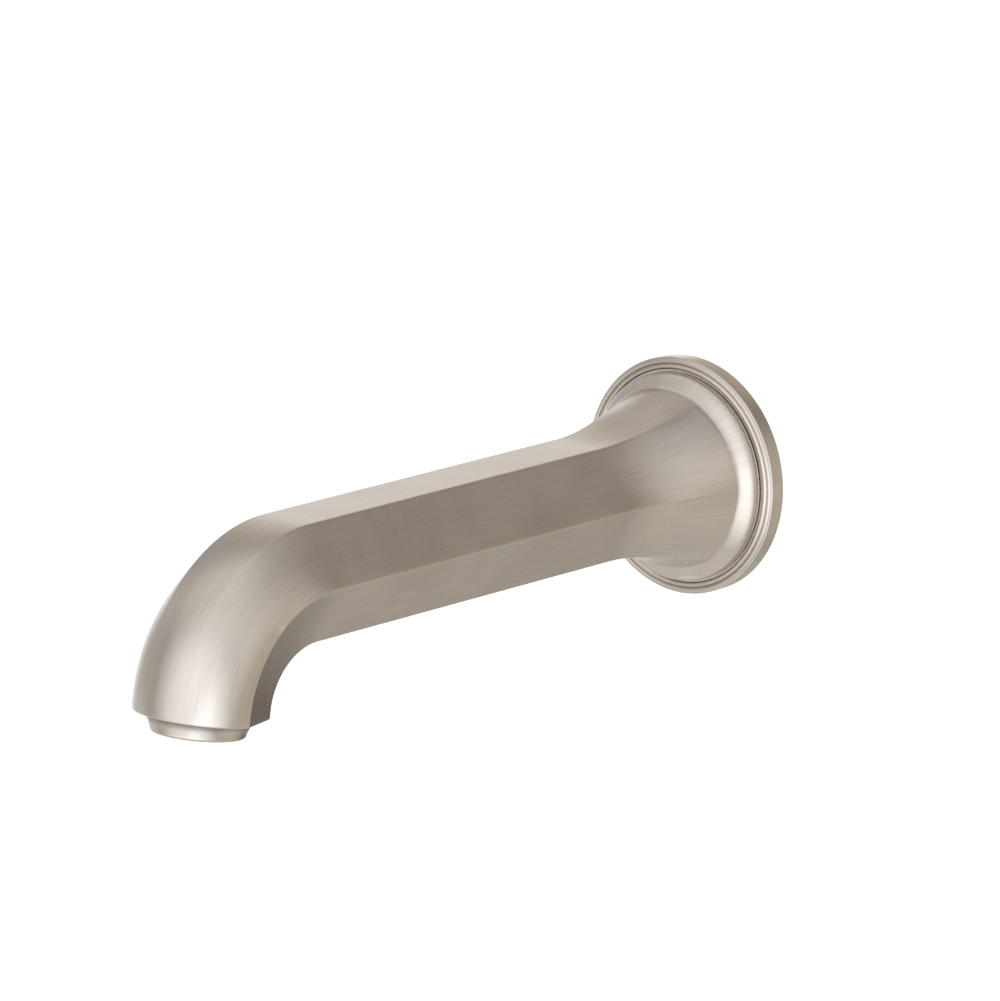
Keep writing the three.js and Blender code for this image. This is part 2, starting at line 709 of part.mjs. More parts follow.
// A disc with square openings between its wires.
function wireScreen(low) {
  const opening = SCREEN_PITCH - SCREEN_WIRE;
  const reach = STACK_RADIUS - SCREEN_RIM;
  const rows = Math.floor(reach / SCREEN_PITCH);
  let plate = solidOf(tube(0, STACK_RADIUS, low, low + SCREEN_HEIGHT, SMALL_SIDES));
  for (let i = -rows; i <= rows; i += 1) {
    for (let j = -rows; j <= rows; j += 1) {
      const farCorner = Math.hypot(Math.abs(i) + 0.5, Math.abs(j) + 0.5) * SCREEN_PITCH;
      if (farCorner < reach) {
        const cutter = new THREE.BoxGeometry(opening, 4 * SCREEN_HEIGHT, opening);
        cutter.translate(i * SCREEN_PITCH, low, j * SCREEN_PITCH);
        plate = plate.subtract(solidOf(cutter));
      }
    }
  }
  return geometryOf(plate);
}

function splitter(low) {
  const holes = [];
  for (let i = 0; i < SPLITTER_HOLES; i += 1) {
    const angle = (i / SPLITTER_HOLES) * 2 * Math.PI;
    const x = STACK_RADIUS * SPLITTER_RING_SHARE * Math.cos(angle);
    const y = STACK_RADIUS * SPLITTER_RING_SHARE * Math.sin(angle);
    holes.push(roundHole(x, y, SPLITTER_HOLE_RADIUS, 8));
  }
  const plate = solidOf(piercedPlate(STACK_RADIUS, low, low + SPLITTER_HEIGHT, holes));
  const coneFoot = low + SPLITTER_HEIGHT - SPLITTER_CONE_SINK;
  const cone = [
    [0, coneFoot],
    [STACK_RADIUS * SPLITTER_CONE_SHARE, coneFoot],
    [0, low + SPLITTER_HEIGHT + GAP / 2],
  ];
  return geometryOf(plate.add(solidOf(turned(cone, SMALL_SIDES))));
}

function jetPlate(low) {
  const holes = [];
  for (const { count, share } of JET_RINGS) {
    for (let i = 0; i < count; i += 1) {
      const angle = (i / count) * 2 * Math.PI;
      const reach = STACK_RADIUS * share;
      holes.push(roundHole(reach * Math.cos(angle), reach * Math.sin(angle), JET_RADIUS, 6));
    }
  }
  return piercedPlate(STACK_RADIUS, low, low + JET_PLATE_HEIGHT, holes);
}

// A domed strainer on a flange, with slots cut in from the side.
function strainer(low) {
  const foot = low + STRAINER_FLANGE;
  const outer = WASHER_INNER - STRAINER_CLEARANCE;
  const dome = (radius, rise) => {
    const points = [];
    for (let i = 0; i <= EDGE_STEPS; i += 1) {
      const angle = (i / EDGE_STEPS) * (Math.PI / 2);
      points.push([radius * Math.cos(angle), foot + rise * Math.sin(angle)]);
    }
    return points;
  };
  const outline = [
    [outer - STRAINER_WALL, low],
    [STACK_RADIUS, low],
    [STACK_RADIUS, foot],
  ];
  outline.push(...dome(outer, STRAINER_RISE));
  outline.push(...dome(outer - STRAINER_WALL, STRAINER_RISE - STRAINER_WALL).reverse());
  let shell = solidOf(turned(outline, SMALL_SIDES));
  for (let i = 0; i < STRAINER_SLOTS; i += 1) {
    const slot = new THREE.BoxGeometry(outer, STRAINER_SLOT_HEIGHT, STRAINER_SLOT_WIDTH);
    slot.translate(outer, foot + STRAINER_SLOT_PLACE, 0);
    slot.rotateY((i / STRAINER_SLOTS) * 2 * Math.PI);
    shell = shell.subtract(solidOf(slot));
  }
  return geometryOf(shell);
}

// ---------------------------------------------------------------- assembly

piece(faucet, "spout_body", "nickel", spoutBody());
piece(faucet, "wall_escutcheon", "nickel", wallEscutcheon());
piece(faucet, "wall_gasket", "foam", wallGasket());
piece(faucet, "base_seal", "rubber", baseSeal());
piece(faucet, "inlet_adapter", "brass", inletAdapter());
piece(faucet, "supply_washer", "rubber", supplyWasher());
piece(faucet, "spigot_seal_rear", "rubber", spigotSeal(SPIGOT_SEAL_PLACES.rear));
piece(faucet, "spigot_seal_front", "rubber", spigotSeal(SPIGOT_SEAL_PLACES.front));
const screw = piece(faucet, "set_screw", "steel", setScrew());
screw.position.set(0, -SCREW_PLACE, 0);

piece(aerator, "aerator_shell", "nickel", aeratorShell());
piece(aerator, "aerator_housing", "whitePlastic", aeratorHousing());
piece(aerator, "aerator_washer", "rubber", aeratorWasher());

// The stack inside the housing, from its lip upwards.
const stack = [
  ["aerator_straightener", "greyPlastic", straightener, STRAIGHTENER_HEIGHT],
  ["aerator_wire_screen", "steel", wireScreen, SCREEN_HEIGHT],
  ["aerator_splitter", "whitePlastic", splitter, SPLITTER_HEIGHT],
  ["aerator_jet_plate", "greyPlastic", jetPlate, JET_PLATE_HEIGHT],
  ["aerator_strainer", "whitePlastic", strainer, STRAINER_FLANGE],
];
let level = HOUSING_BOTTOM + HOUSING_LIP + GAP;
for (const [name, finish, make, height] of stack) {
  piece(aerator, name, finish, make(level));
  level += height + GAP;
}

export default faucet;
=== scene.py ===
# Looks of a wall mounted bath spout: cast arm, round escutcheon, inlet adapter and screw-in aerator.
# Metres. The finished wall is the plane y = 0, the spout reaches towards -Y and +Z is up.
import json
import math

import bpy
from mathutils import Matrix, Vector

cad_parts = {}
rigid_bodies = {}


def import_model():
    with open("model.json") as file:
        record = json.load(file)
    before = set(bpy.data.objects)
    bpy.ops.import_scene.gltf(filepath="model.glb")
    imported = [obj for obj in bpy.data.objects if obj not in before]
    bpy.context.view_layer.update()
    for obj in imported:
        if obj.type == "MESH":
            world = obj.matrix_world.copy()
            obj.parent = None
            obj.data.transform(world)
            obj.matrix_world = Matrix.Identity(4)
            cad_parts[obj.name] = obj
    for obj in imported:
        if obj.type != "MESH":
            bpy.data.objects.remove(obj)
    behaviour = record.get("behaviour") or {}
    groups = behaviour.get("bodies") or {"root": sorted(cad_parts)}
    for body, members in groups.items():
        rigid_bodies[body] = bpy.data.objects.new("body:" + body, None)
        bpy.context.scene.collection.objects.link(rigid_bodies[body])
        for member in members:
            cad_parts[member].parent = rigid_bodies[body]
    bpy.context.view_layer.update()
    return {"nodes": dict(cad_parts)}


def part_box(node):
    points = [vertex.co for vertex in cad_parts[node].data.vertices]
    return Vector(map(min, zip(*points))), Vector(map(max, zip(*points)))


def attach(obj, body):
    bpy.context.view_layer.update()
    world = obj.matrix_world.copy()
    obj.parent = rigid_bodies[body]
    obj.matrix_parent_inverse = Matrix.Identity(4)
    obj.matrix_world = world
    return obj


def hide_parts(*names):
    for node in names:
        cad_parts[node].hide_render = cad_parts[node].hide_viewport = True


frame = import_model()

# ---------------------------------------------------------------- sizes, in metres

MM = 0.001
GAP = 0.3 * MM
SPOUT_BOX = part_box("spout_body")
PLATE_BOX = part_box("wall_escutcheon")
COLLAR_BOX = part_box("aerator_shell")

PLATE_RADIUS = PLATE_BOX[1].x
PLATE_DEPTH = 5.1 * MM
PLATE_SHEET = 1.6 * MM
PLATE_SHOULDER = 0.4 * MM
BEAD_WIDTH = 1.6 * MM
BEAD_RISE = 0.6 * MM
BEAD_STEPS = 12
BEAD_FULLNESS = 0.7
PLATE_EASE = 0.2 * MM
PLATE_FILLET = 0.6 * MM
FILLET_MIDDLE = 0.18 * MM

BASE_RADIUS = SPOUT_BOX[1].x
BASE_REAR = 5.4 * MM
LIP_START = 7.1 * MM
CONE_START = 10 * MM
BLEND_START = 31 * MM
FLARE_END = 50 * MM
LIP_FLARE = 0.72
FLARE_ROUNDING = 0.85
LIP_TURN = 11.6 * MM
LIP_EASE = 1.8
CONE_FLARE = 0.23

TOP_CORNER = (8.8 * MM, 17.05 * MM)
SIDE_CORNER = (19.6 * MM, 0.5 * MM)
UNDER_CORNER = (12 * MM, -15.4 * MM)
FRONT_HEIGHT = 17.2 * MM
CORNER_EASE = 0.55 * MM
UNDER_CORNER_EASE = 0.9 * MM
CORNER_STEPS = 6
FACE_STEPS = (7, 18, 15)
UNDERSIDE_STEPS = 9

ARM_LENGTH = 168 * MM
ARM_TAPER = 0.03
BEND_RADIUS = 33.3 * MM
BEND_ANGLE = math.radians(81.5)
TIP_LENGTH = 2.2 * MM
BEND_END = ARM_LENGTH + BEND_RADIUS * BEND_ANGLE
ROUTE_LENGTH = BEND_END + TIP_LENGTH
ROUNDING_START = math.radians(-4)
ROUNDING_END = math.radians(64)

# How many rings each stretch of the route gets.
BEND_LEAD = 4 * MM
ROUTE_STEPS = {
    (LIP_START, LIP_TURN): 24,
    (LIP_TURN, BLEND_START): 14,
    (BLEND_START, FLARE_END): 22,
    (FLARE_END, ARM_LENGTH - BEND_LEAD): 24,
    (ARM_LENGTH - BEND_LEAD, BEND_END): 56,
}
BASE_EASE = 0.35 * MM
BASE_EASE_STEPS = 3
RIM_EASE = 0.5 * MM
RIM_STEPS = 4

# Insides: the waterway, the dry hollow behind it, and how far apart the rings count for the brushing.
WATERWAY_SHARE = 0.8
HOLLOW_SHARE = 0.86
OUTLET_SPACING = 0.5 * MM
INSIDE_SPACING = 5 * MM
REAR_SPACING = 2 * MM
GROOVE_INNER = 24.7 * MM
GROOVE_OUTER = 26.9 * MM
GROOVE_DEPTH = 1.6 * MM
REGISTER_INNER = 17.87 * MM
REGISTER_OUTER = 20.87 * MM
REGISTER_REAR = 1.2 * MM
BOSS_RADIUS = 13.8 * MM
BOSS_BORE = 11.3 * MM
BOSS_REAR = 22 * MM
DRY_END = 38 * MM
WET_START = 47.6 * MM
WATERWAY_PLACES = [206.3 * MM, 196 * MM, 184 * MM, ARM_LENGTH, FLARE_END, WET_START]
HOLLOW_PLACES = [DRY_END, 34 * MM, BLEND_START, 24 * MM, 17 * MM, CONE_START]
OUTLET_BORE = 12.3 * MM
OUTLET_LEAD = 0.5 * MM
OUTLET_SHOULDER = 8.7 * MM
OUTLET_WEB = 2.5 * MM
WASHER_INNER = 9.3 * MM
AERATOR_THREAD = 12 * MM
BARREL_TOP = 5.4 * MM
THREAD_PITCH = 1 * MM
THREAD_DEPTH = 0.5 * MM
THREAD_FLANK = 0.4 * MM
THREAD_FLAT = 0.15 * MM
THREAD_RUNOUT = 1.4 * MM
COLLAR_TOP_RADIUS = COLLAR_BOX[1].x
COLLAR_DROP = 4.9 * MM
COLLAR_STEPS = 96
SCREW_PLACE = 29 * MM
SCREW_PAD_RADIUS = 5.6 * MM
SCREW_PAD_HEIGHTS = (-16.6 * MM, -12.4 * MM)
SCREW_HOLE_RADIUS = 3.3 * MM
SCREW_HOLE_HEIGHTS = (-31 * MM, -9.6 * MM)
CYLINDER_SIDES = 64


# ---------------------------------------------------------------- modelling helpers

WELD_DISTANCE = 0.001 * MM
BEVEL_SEGMENTS = 3
BEVEL_ANGLE = math.radians(30)
ALONG_Y = (math.pi / 2, 0, 0)


def deselect_all():
    for thing in bpy.context.view_layer.objects:
        thing.select_set(False)


def edit(piece):
    """Makes one piece active, alone selected, and opens it for editing with nothing selected."""
    deselect_all()
    bpy.context.view_layer.objects.active = piece
    piece.select_set(True)
    bpy.ops.object.mode_set(mode="EDIT")
    bpy.ops.mesh.select_all(action="DESELECT")


def leave_edit():
    bpy.ops.object.mode_set(mode="OBJECT")


def named(name):
    piece = bpy.context.object
    piece.name = name
    piece.data.name = name
    return piece


def settle(piece):
    """Puts the piece's place, turn and size into its mesh."""
    deselect_all()
    bpy.context.view_layer.objects.active = piece
    piece.select_set(True)
    bpy.ops.object.transform_apply(location=True, rotation=True, scale=True)
    return piece


def weld(piece):
    """Joins points that lie on each other and turns all faces outwards."""
    edit(piece)
    bpy.ops.mesh.select_all(action="SELECT")
    bpy.ops.mesh.remove_doubles(threshold=WELD_DISTANCE)
    bpy.ops.mesh.dissolve_degenerate(threshold=WELD_DISTANCE)
    bpy.ops.mesh.normals_make_consistent(inside=False)
    leave_edit()
    return piece


def smooth(piece, degrees):
    """Smooth shading, sharp only where two faces meet at more than the given angle."""
    deselect_all()
    bpy.context.view_layer.objects.active = piece
    piece.select_set(True)
    bpy.ops.object.shade_smooth_by_angle(angle=math.radians(degrees))
    return piece


def apply_modifier(piece, kind, **settings):
    deselect_all()
    bpy.context.view_layer.objects.active = piece
    piece.select_set(True)
    modifier = piece.modifiers.new(kind.lower(), kind)
    for key, value in settings.items():
        setattr(modifier, key, value)
    bpy.ops.object.modifier_apply(modifier=modifier.name)
    return piece


def soften_edges(piece, width):
    return apply_modifier(
        piece, "BEVEL", width=width, segments=BEVEL_SEGMENTS, limit_method="ANGLE",
        angle_limit=BEVEL_ANGLE, harden_normals=False,
    )


def cut_or_join(piece, tool, operation):
    apply_modifier(piece, "BOOLEAN", operation=operation, object=tool, solver="EXACT")
    bpy.data.objects.remove(tool)
    return piece


def smoothstep(value, low, high):
    share = min(max((value - low) / (high - low), 0), 1)
    return share * share * (3 - 2 * share)


# ---------------------------------------------------------------- rolled sheets

def rolled_sheet(name, rings, distances, girth):
    """A grid sheet rolled up so that row j follows rings[j], all round and back to its own start.

    The UV map is in metres: girth across the sheet, distances along it.
    """
    across = len(rings[0])
    bpy.ops.mesh.primitive_grid_add(x_subdivisions=across, y_subdivisions=len(rings), size=2)
    piece = named(name)
    places = []
    for ring in [*rings, rings[0]]:
        for point in [*ring, ring[0]]:
            places.extend(point)
    piece.data.vertices.foreach_set("co", places)
    along = [*distances, distances[-1]]
    layer = piece.data.uv_layers.active or piece.data.uv_layers.new(name="UVMap")
    uvs = []
    for loop in piece.data.loops:
        row, column = divmod(loop.vertex_index, across + 1)
        uvs.extend((girth * column / across, along[row]))
    layer.data.foreach_set("uv", uvs)
    return weld(piece)


def around(centre, radius, ways, across, up):
    """A ring of points round a centre, one in each of the given ways."""
    return [centre + across * (x * radius) + up * (y * radius) for x, y in ways]


# ---------------------------------------------------------------- spun pieces

def traced(name, outline):
    """An outline in the plane z = 0, traced point by point: x is the radius, y the height."""
    bpy.ops.mesh.primitive_plane_add(size=MM)
    piece = named(name)
    edit(piece)
    bpy.ops.mesh.select_all(action="SELECT")
    bpy.ops.mesh.merge(type="CENTER")
    here = Vector((0, 0, 0))
    first = Vector((*outline[0], 0))
    bpy.ops.transform.translate(value=first - here)
    here = first
    for radius, height in outline[1:]:
        there = Vector((radius, height, 0))
        bpy.ops.mesh.extrude_region_move(TRANSFORM_OT_translate={"value": there - here})
        here = there
    leave_edit()
    return piece


def spun(name, outline, steps):
    """A closed outline of (radius, height) turned about the Y axis."""
    piece = traced(name, [*outline, outline[0]])
    edit(piece)
    bpy.ops.mesh.select_all(action="SELECT")
    bpy.ops.mesh.spin(steps=steps, angle=2 * math.pi, center=(0, 0, 0), axis=(0, 1, 0))
    leave_edit()
    return weld(piece)


def arc(centre, radius, start, end, steps):
    """Points on an arc; angles in degrees from the outward radius towards +height."""
    points = []
    for i in range(steps + 1):
        angle = math.radians(start + (end - start) * i / steps)
        x = centre[0] + radius * math.cos(angle)
        points.append((x, centre[1] + radius * math.sin(angle)))
    return points


# The aerator's own frame: +Y up into the spout from the middle of the outlet's rim.
OUTLET_UP = Vector((0, math.cos(BEND_ANGLE), math.sin(BEND_ANGLE)))


def route_at(s):
    """The route's centre and its bend, s from the wall."""
    bend = min(max((s - ARM_LENGTH) / BEND_RADIUS, 0), BEND_ANGLE)
    tip = max(s - BEND_END, 0)
    y = -min(s, ARM_LENGTH) - BEND_RADIUS * math.sin(bend) - tip * math.cos(bend)
    z = BEND_RADIUS * (math.cos(bend) - 1) - tip * math.sin(bend)
    return Vector((0, y, z)), bend


OUTLET_MIDDLE = route_at(ROUTE_LENGTH)[0]
OUTLET_FRAME = Matrix.Translation(OUTLET_MIDDLE) @ Matrix.Rotation(BEND_ANGLE, 4, "X")


def at_outlet(piece):
    """Moves a piece made about the Y axis at the origin to the outlet."""
    piece.matrix_world = OUTLET_FRAME
    return settle(piece)


# ---------------------------------------------------------------- the spout

def side_points(start, end, steps):
    return [
        (start[0] + (end[0] - start[0]) * i / steps, start[1] + (end[1] - start[1]) * i / steps)
        for i in range(1, steps + 1)
    ]


def corner_points(before, corner, after, radius, steps):
    """A corner eased by an arc that meets both of its sides."""
    point = Vector(corner)
    back = (Vector(before) - point).normalized()
    on = (Vector(after) - point).normalized()
    half = back.angle(on) / 2
    middle = point + (back + on).normalized() * (radius / math.sin(half))
    start = point + back * (radius / math.tan(half)) - middle
    end = point + on * (radius / math.tan(half)) - middle
    turn = start.angle_signed(end)
    points = []
    for i in range(steps + 1):
        swing = start.copy()
        swing.rotate(Matrix.Rotation(-turn * i / steps, 2))
        points.append(tuple(middle + swing))
    return points


def half_section():
    """Half of the arm's six-sided section with eased corners, from top middle to underside middle."""
    top_middle = (0, TOP_CORNER[1])
    under_middle = (0, UNDER_CORNER[1])
    corners = [
        corner_points(top_middle, TOP_CORNER, SIDE_CORNER, CORNER_EASE, CORNER_STEPS),
        corner_points(TOP_CORNER, SIDE_CORNER, UNDER_CORNER, CORNER_EASE, CORNER_STEPS),
        corner_points(SIDE_CORNER, UNDER_CORNER, under_middle, UNDER_CORNER_EASE, CORNER_STEPS),
    ]
    points = [top_middle]
    here = top_middle
    for corner, steps in zip(corners, FACE_STEPS):
        points += [*side_points(here, corner[0], steps), *corner[1:]]
        here = corner[-1]
    return points + side_points(here, under_middle, UNDERSIDE_STEPS)


HALF_SECTION = half_section()


def whole_section(half):
    """Starts at the middle of the underside and goes round by the +X side."""
    mirrored = [(-x, y) for x, y in half[1:-1]]
    return [*reversed(half), *mirrored]


SECTION = whole_section(HALF_SECTION)
WAYS = [tuple(Vector(point).normalized()) for point in SECTION]
GIRTH = 2 * sum(
    math.dist(HALF_SECTION[i], HALF_SECTION[i + 1]) for i in range(len(HALF_SECTION) - 1)
)


def rounded_point(point):
    """The point of the half round front that lies the same way out."""
    x, y = point[0], point[1] - SIDE_CORNER[1]
    if y <= 0:
        return point
    reach = math.hypot(x / SIDE_CORNER[0], y / (FRONT_HEIGHT - SIDE_CORNER[1]))
    return (x / reach, SIDE_CORNER[1] + y / reach)


def flare_at(s):
    """0 is the arm's section and 1 the round base."""
    if s >= FLARE_END:
        return 0
    if s >= BLEND_START:
        return CONE_FLARE * ((FLARE_END - s) / (FLARE_END - BLEND_START)) ** 2
    share = (BLEND_START - max(s, LIP_TURN)) / (BLEND_START - CONE_START)
    cone = CONE_FLARE + (LIP_FLARE - CONE_FLARE) * share
    if s >= LIP_TURN:
        return cone
    rise = min((LIP_TURN - s) / (LIP_TURN - LIP_START), 1)
    return cone + (1 - cone) * math.sin(math.pi / 2 * rise) ** LIP_EASE


def outline_at(s, deepest_flare=1, share=1):
    rounding = smoothstep((s - ARM_LENGTH) / BEND_RADIUS, ROUNDING_START, ROUNDING_END)
    taper = 1 - ARM_TAPER * max(s - FLARE_END, 0) / (ROUTE_LENGTH - FLARE_END)
    flare = min(flare_at(s), deepest_flare)
    rounding = max(rounding, FLARE_ROUNDING * smoothstep(flare, CONE_FLARE, LIP_FLARE))
    points = []
    for point, way in zip(SECTION, WAYS):
        shaped = Vector(point).lerp(Vector(rounded_point(point)), rounding) * taper
        points.append(shaped.lerp(Vector(way) * BASE_RADIUS, flare) * share)
    return points


def ring_on_route(s, outline):
    centre, bend = route_at(s)
    up = Vector((0, -math.sin(bend), math.cos(bend)))
    return [centre + Vector((x, 0, 0)) + up * y for x, y in outline]


def supply_ring(radius, s):
    return around(Vector((0, -s, 0)), radius, WAYS, Vector((1, 0, 0)), Vector((0, 0, 1)))


def outlet_ring(radius, height):
    up = Vector((0, -math.sin(BEND_ANGLE), math.cos(BEND_ANGLE)))
    centre = OUTLET_MIDDLE + OUTLET_UP * height
    return around(centre, radius, WAYS, Vector((1, 0, 0)), up)


def steps_between(start, end, count):
    return [start + (end - start) * i / count for i in range(1, count + 1)]


def spout_rings():
    """All rings of the casting, outside and inside, with their distances along the brushing."""
    rings, distances = [], []

    def add(ring, distance):
        rings.append(ring)
        distances.append(distance)

    for i in range(BASE_EASE_STEPS + 1):
        angle = math.pi / 2 * i / BASE_EASE_STEPS
        s = BASE_REAR + BASE_EASE * (1 - math.sin(angle))
        add(supply_ring(BASE_RADIUS - BASE_EASE * (1 - math.cos(angle)), s), s)
    rings.reverse()
    distances.reverse()
    add(supply_ring(BASE_RADIUS, LIP_START), LIP_START)
    places = []
    for (start, end), steps in ROUTE_STEPS.items():
        places += steps_between(start, end, steps)
    places.append(ROUTE_LENGTH - RIM_EASE)
    for s in places:
        add(ring_on_route(s, outline_at(s)), s)
    end = outline_at(ROUTE_LENGTH)
    for i in range(1, RIM_STEPS + 1):
        angle = math.pi / 2 * i / RIM_STEPS
        s = ROUTE_LENGTH - RIM_EASE * (1 - math.sin(angle))
        inset = RIM_EASE * (1 - math.cos(angle))
        add(ring_on_route(s, [p * (1 - inset / p.length) for p in end]), s)
    beyond = ROUTE_LENGTH
    for radius, height in outlet_profile():
        beyond += OUTLET_SPACING
        add(outlet_ring(radius, height), beyond)
    for s in WATERWAY_PLACES:
        beyond += INSIDE_SPACING
        add(ring_on_route(s, outline_at(s, share=WATERWAY_SHARE)), beyond)
    for radius, s in [(BOSS_BORE, WET_START), (BOSS_BORE, BOSS_REAR), (BOSS_RADIUS, BOSS_REAR),
                      (BOSS_RADIUS, DRY_END)]:
        beyond += INSIDE_SPACING
        add(supply_ring(radius, s), beyond)
    for s in HOLLOW_PLACES:
        beyond += INSIDE_SPACING
        add(ring_on_route(s, outline_at(s, LIP_FLARE, HOLLOW_SHARE)), beyond)
    groove_end = BASE_REAR + GROOVE_DEPTH
    for radius, s in [(REGISTER_INNER, CONE_START - MM), (REGISTER_INNER, REGISTER_REAR),
                      (REGISTER_OUTER, REGISTER_REAR), (REGISTER_OUTER, BASE_REAR),
                      (GROOVE_INNER, BASE_REAR), (GROOVE_INNER, groove_end),
                      (GROOVE_OUTER, groove_end), (GROOVE_OUTER, BASE_REAR)]:
        beyond += REAR_SPACING
        add(supply_ring(radius, s), beyond)
    return rings, distances


def outlet_profile():
    """Inside of the outlet from the rim up: lead-in, thread grooves, shoulder and web."""
    points = [(OUTLET_BORE + OUTLET_LEAD, 0), (OUTLET_BORE, OUTLET_LEAD)]
    root = OUTLET_BORE + THREAD_DEPTH
    height = THREAD_PITCH
    while height < OUTLET_SHOULDER - THREAD_RUNOUT:
        points += [
            (OUTLET_BORE, height), (root, height + THREAD_FLANK),
            (root, height + THREAD_FLANK + THREAD_FLAT),
        ]
        height += THREAD_PITCH
    points += [(OUTLET_BORE, height), (OUTLET_BORE, OUTLET_SHOULDER)]
    points += [(WASHER_INNER, OUTLET_SHOULDER), (WASHER_INNER, OUTLET_SHOULDER + OUTLET_WEB)]
    return points


def upright_cylinder(name, radius, low, high):
    bpy.ops.mesh.primitive_cylinder_add(
        vertices=CYLINDER_SIDES, radius=radius, depth=high - low,
        location=(0, -SCREW_PLACE, (low + high) / 2),
    )
    return settle(named(name))


def cast_spout():
    rings, distances = spout_rings()
    piece = rolled_sheet("cast_spout", rings, distances, GIRTH)
    pad = upright_cylinder("screw_pad", SCREW_PAD_RADIUS, *SCREW_PAD_HEIGHTS)
    cut_or_join(piece, pad, "UNION")
    hole = upright_cylinder("screw_hole", SCREW_HOLE_RADIUS, *SCREW_HOLE_HEIGHTS)
    cut_or_join(piece, hole, "DIFFERENCE")
    return smooth(piece, 32)


# ---------------------------------------------------------------- escutcheon, gasket and adapter

def wall_plate():
    """Round plate with an eased front edge, two beads and a hollow back."""
    edge = PLATE_RADIUS - PLATE_SHOULDER
    outline = [(PLATE_RADIUS, -PLATE_EASE)]
    outline += arc((edge, -PLATE_DEPTH + PLATE_SHOULDER), PLATE_SHOULDER, 0, -90, 10)
    for _ in range(2):
        for i in range(1, BEAD_STEPS):
            rise = BEAD_RISE * math.sin(math.pi * i / BEAD_STEPS) ** BEAD_FULLNESS
            outline.append((edge - BEAD_WIDTH * i / BEAD_STEPS, -PLATE_DEPTH - rise))
        edge -= BEAD_WIDTH
        outline.append((edge, -PLATE_DEPTH))
    hole = REGISTER_OUTER + GAP
    back = -PLATE_DEPTH + PLATE_SHEET
    inner = PLATE_RADIUS - PLATE_SHEET
    outline += [(hole + PLATE_EASE, -PLATE_DEPTH), (hole, -PLATE_DEPTH + PLATE_EASE)]
    outline += [(hole, back - PLATE_EASE), (hole + PLATE_EASE, back)]
    outline += [(inner - PLATE_FILLET, back), (inner - FILLET_MIDDLE, back + FILLET_MIDDLE)]
    outline += [(inner, back + PLATE_FILLET), (inner, -PLATE_EASE)]
    outline += [(inner + PLATE_EASE, 0), (PLATE_RADIUS - PLATE_EASE, 0)]
    return smooth(spun("wall_plate", outline, 180), 40)


def foam_gasket():
    low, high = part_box("wall_gasket")
    inner, outer, ease = 22.4 * MM, high.x, 0.5 * MM
    outline = arc((outer - ease, low.y + ease), ease, 0, -90, 5)
    outline += arc((inner + ease, low.y + ease), ease, -90, -180, 5)
    outline += [(inner, high.y), (outer, high.y)]
    return smooth(spun("foam_gasket", outline, 120), 50)


def brass_adapter():
    """Hexagon and barrel with a threaded pipe socket, then the spigot with its grooves."""
    socket, barrel, spigot, bore = 10.2 * MM, 13.4 * MM, 11 * MM, 6.5 * MM
    rear, socket_end, barrel_end, nose = -3 * MM, -17 * MM, -19.4 * MM, -46.6 * MM
    groove, chamfer, rim_ease = 9.2 * MM, 0.8 * MM, 0.3 * MM
    outline = [(socket + chamfer, rear), (barrel - rim_ease, rear), (barrel, rear - rim_ease)]
    outline += [(barrel, barrel_end + chamfer), (barrel - chamfer, barrel_end), (spigot, barrel_end)]
    outline += [(spigot, -25.7 * MM), (groove, -26.6 * MM), (groove, -31.4 * MM), (spigot, -32.3 * MM)]
    half_groove = 1.05 * MM
    for place in (-37.4 * MM, -42.6 * MM):
        outline += [(spigot, place + half_groove), (groove, place + half_groove)]
        outline += [(groove, place - half_groove), (spigot, place - half_groove)]
    outline += [(spigot, nose + chamfer), (spigot - chamfer, nose), (bore, nose)]
    outline += [(bore, socket_end), (socket, socket_end)]
    pitch, depth, flank, flat = 1.81 * MM, 0.75 * MM, 0.8 * MM, 0.15 * MM
    height = socket_end + 2.4 * MM
    while height < rear - 2 * MM:
        outline += [(socket, height), (socket + depth, height + flank)]
        outline += [(socket + depth, height + flank + flat)]
        height += pitch
    outline += [(socket, height), (socket, rear - chamfer)]
    piece = spun("brass_adapter", outline, 96)
    cut_or_join(piece, adapter_hexagon(rear - MM, rear - 9 * MM, barrel), "UNION")
    return smooth(piece, 30)


def adapter_hexagon(back, front, flat):
    """Hexagon whose flats are level with the barrel, its corners turned off, open for the socket."""
    bpy.ops.mesh.primitive_cylinder_add(
        vertices=6, radius=flat / math.cos(math.pi / 6), depth=back - front,
        location=(0, (back + front) / 2, 0), rotation=ALONG_Y)
    nut = soften_edges(settle(named("nut")), 0.45 * MM)
    core, shoulder, corner, chamfer = 9 * MM, 14.4 * MM, 15.5 * MM, 0.9 * MM
    turning = spun("nut_turning", [
        (shoulder, back), (corner, back - chamfer), (corner, front + chamfer), (shoulder, front),
        (core, front), (core, back)], 96)
    cut_or_join(nut, turning, "INTERSECT")
    inside, outside = 2 * MM, 12 * MM
    clear = spun("nut_bore", [(outside, back + MM), (outside, front - MM), (inside, front - MM),
                              (inside, back + MM)], 64)
    return cut_or_join(nut, clear, "DIFFERENCE")


# ---------------------------------------------------------------- aerator

def threaded_sleeve_rings(low, high, crest, root):
    """Rows that climb one pitch in a turn, so that the sheet closes into a helix."""
    profile = [(0.0, root), (0.1, root), (0.45, crest), (0.62, crest)]
    turns = math.ceil((high - low) / THREAD_PITCH) + 2
    rows = []
    for row in range(len(profile) * turns + 1):
        turn, place = divmod(row, len(profile))
        lift, thread_radius = profile[place]
        base = low - THREAD_PITCH + (turn + lift) * THREAD_PITCH
        points = []
        for i in range(COLLAR_STEPS + 1):
            height = base + THREAD_PITCH * i / COLLAR_STEPS
            held = min(max(height, low), high)
            radius = thread_radius if held == height else root
            angle = 2 * math.pi * i / COLLAR_STEPS
            points.append((radius * math.cos(angle), held, -radius * math.sin(angle)))
        rows.append(points)
    return rows


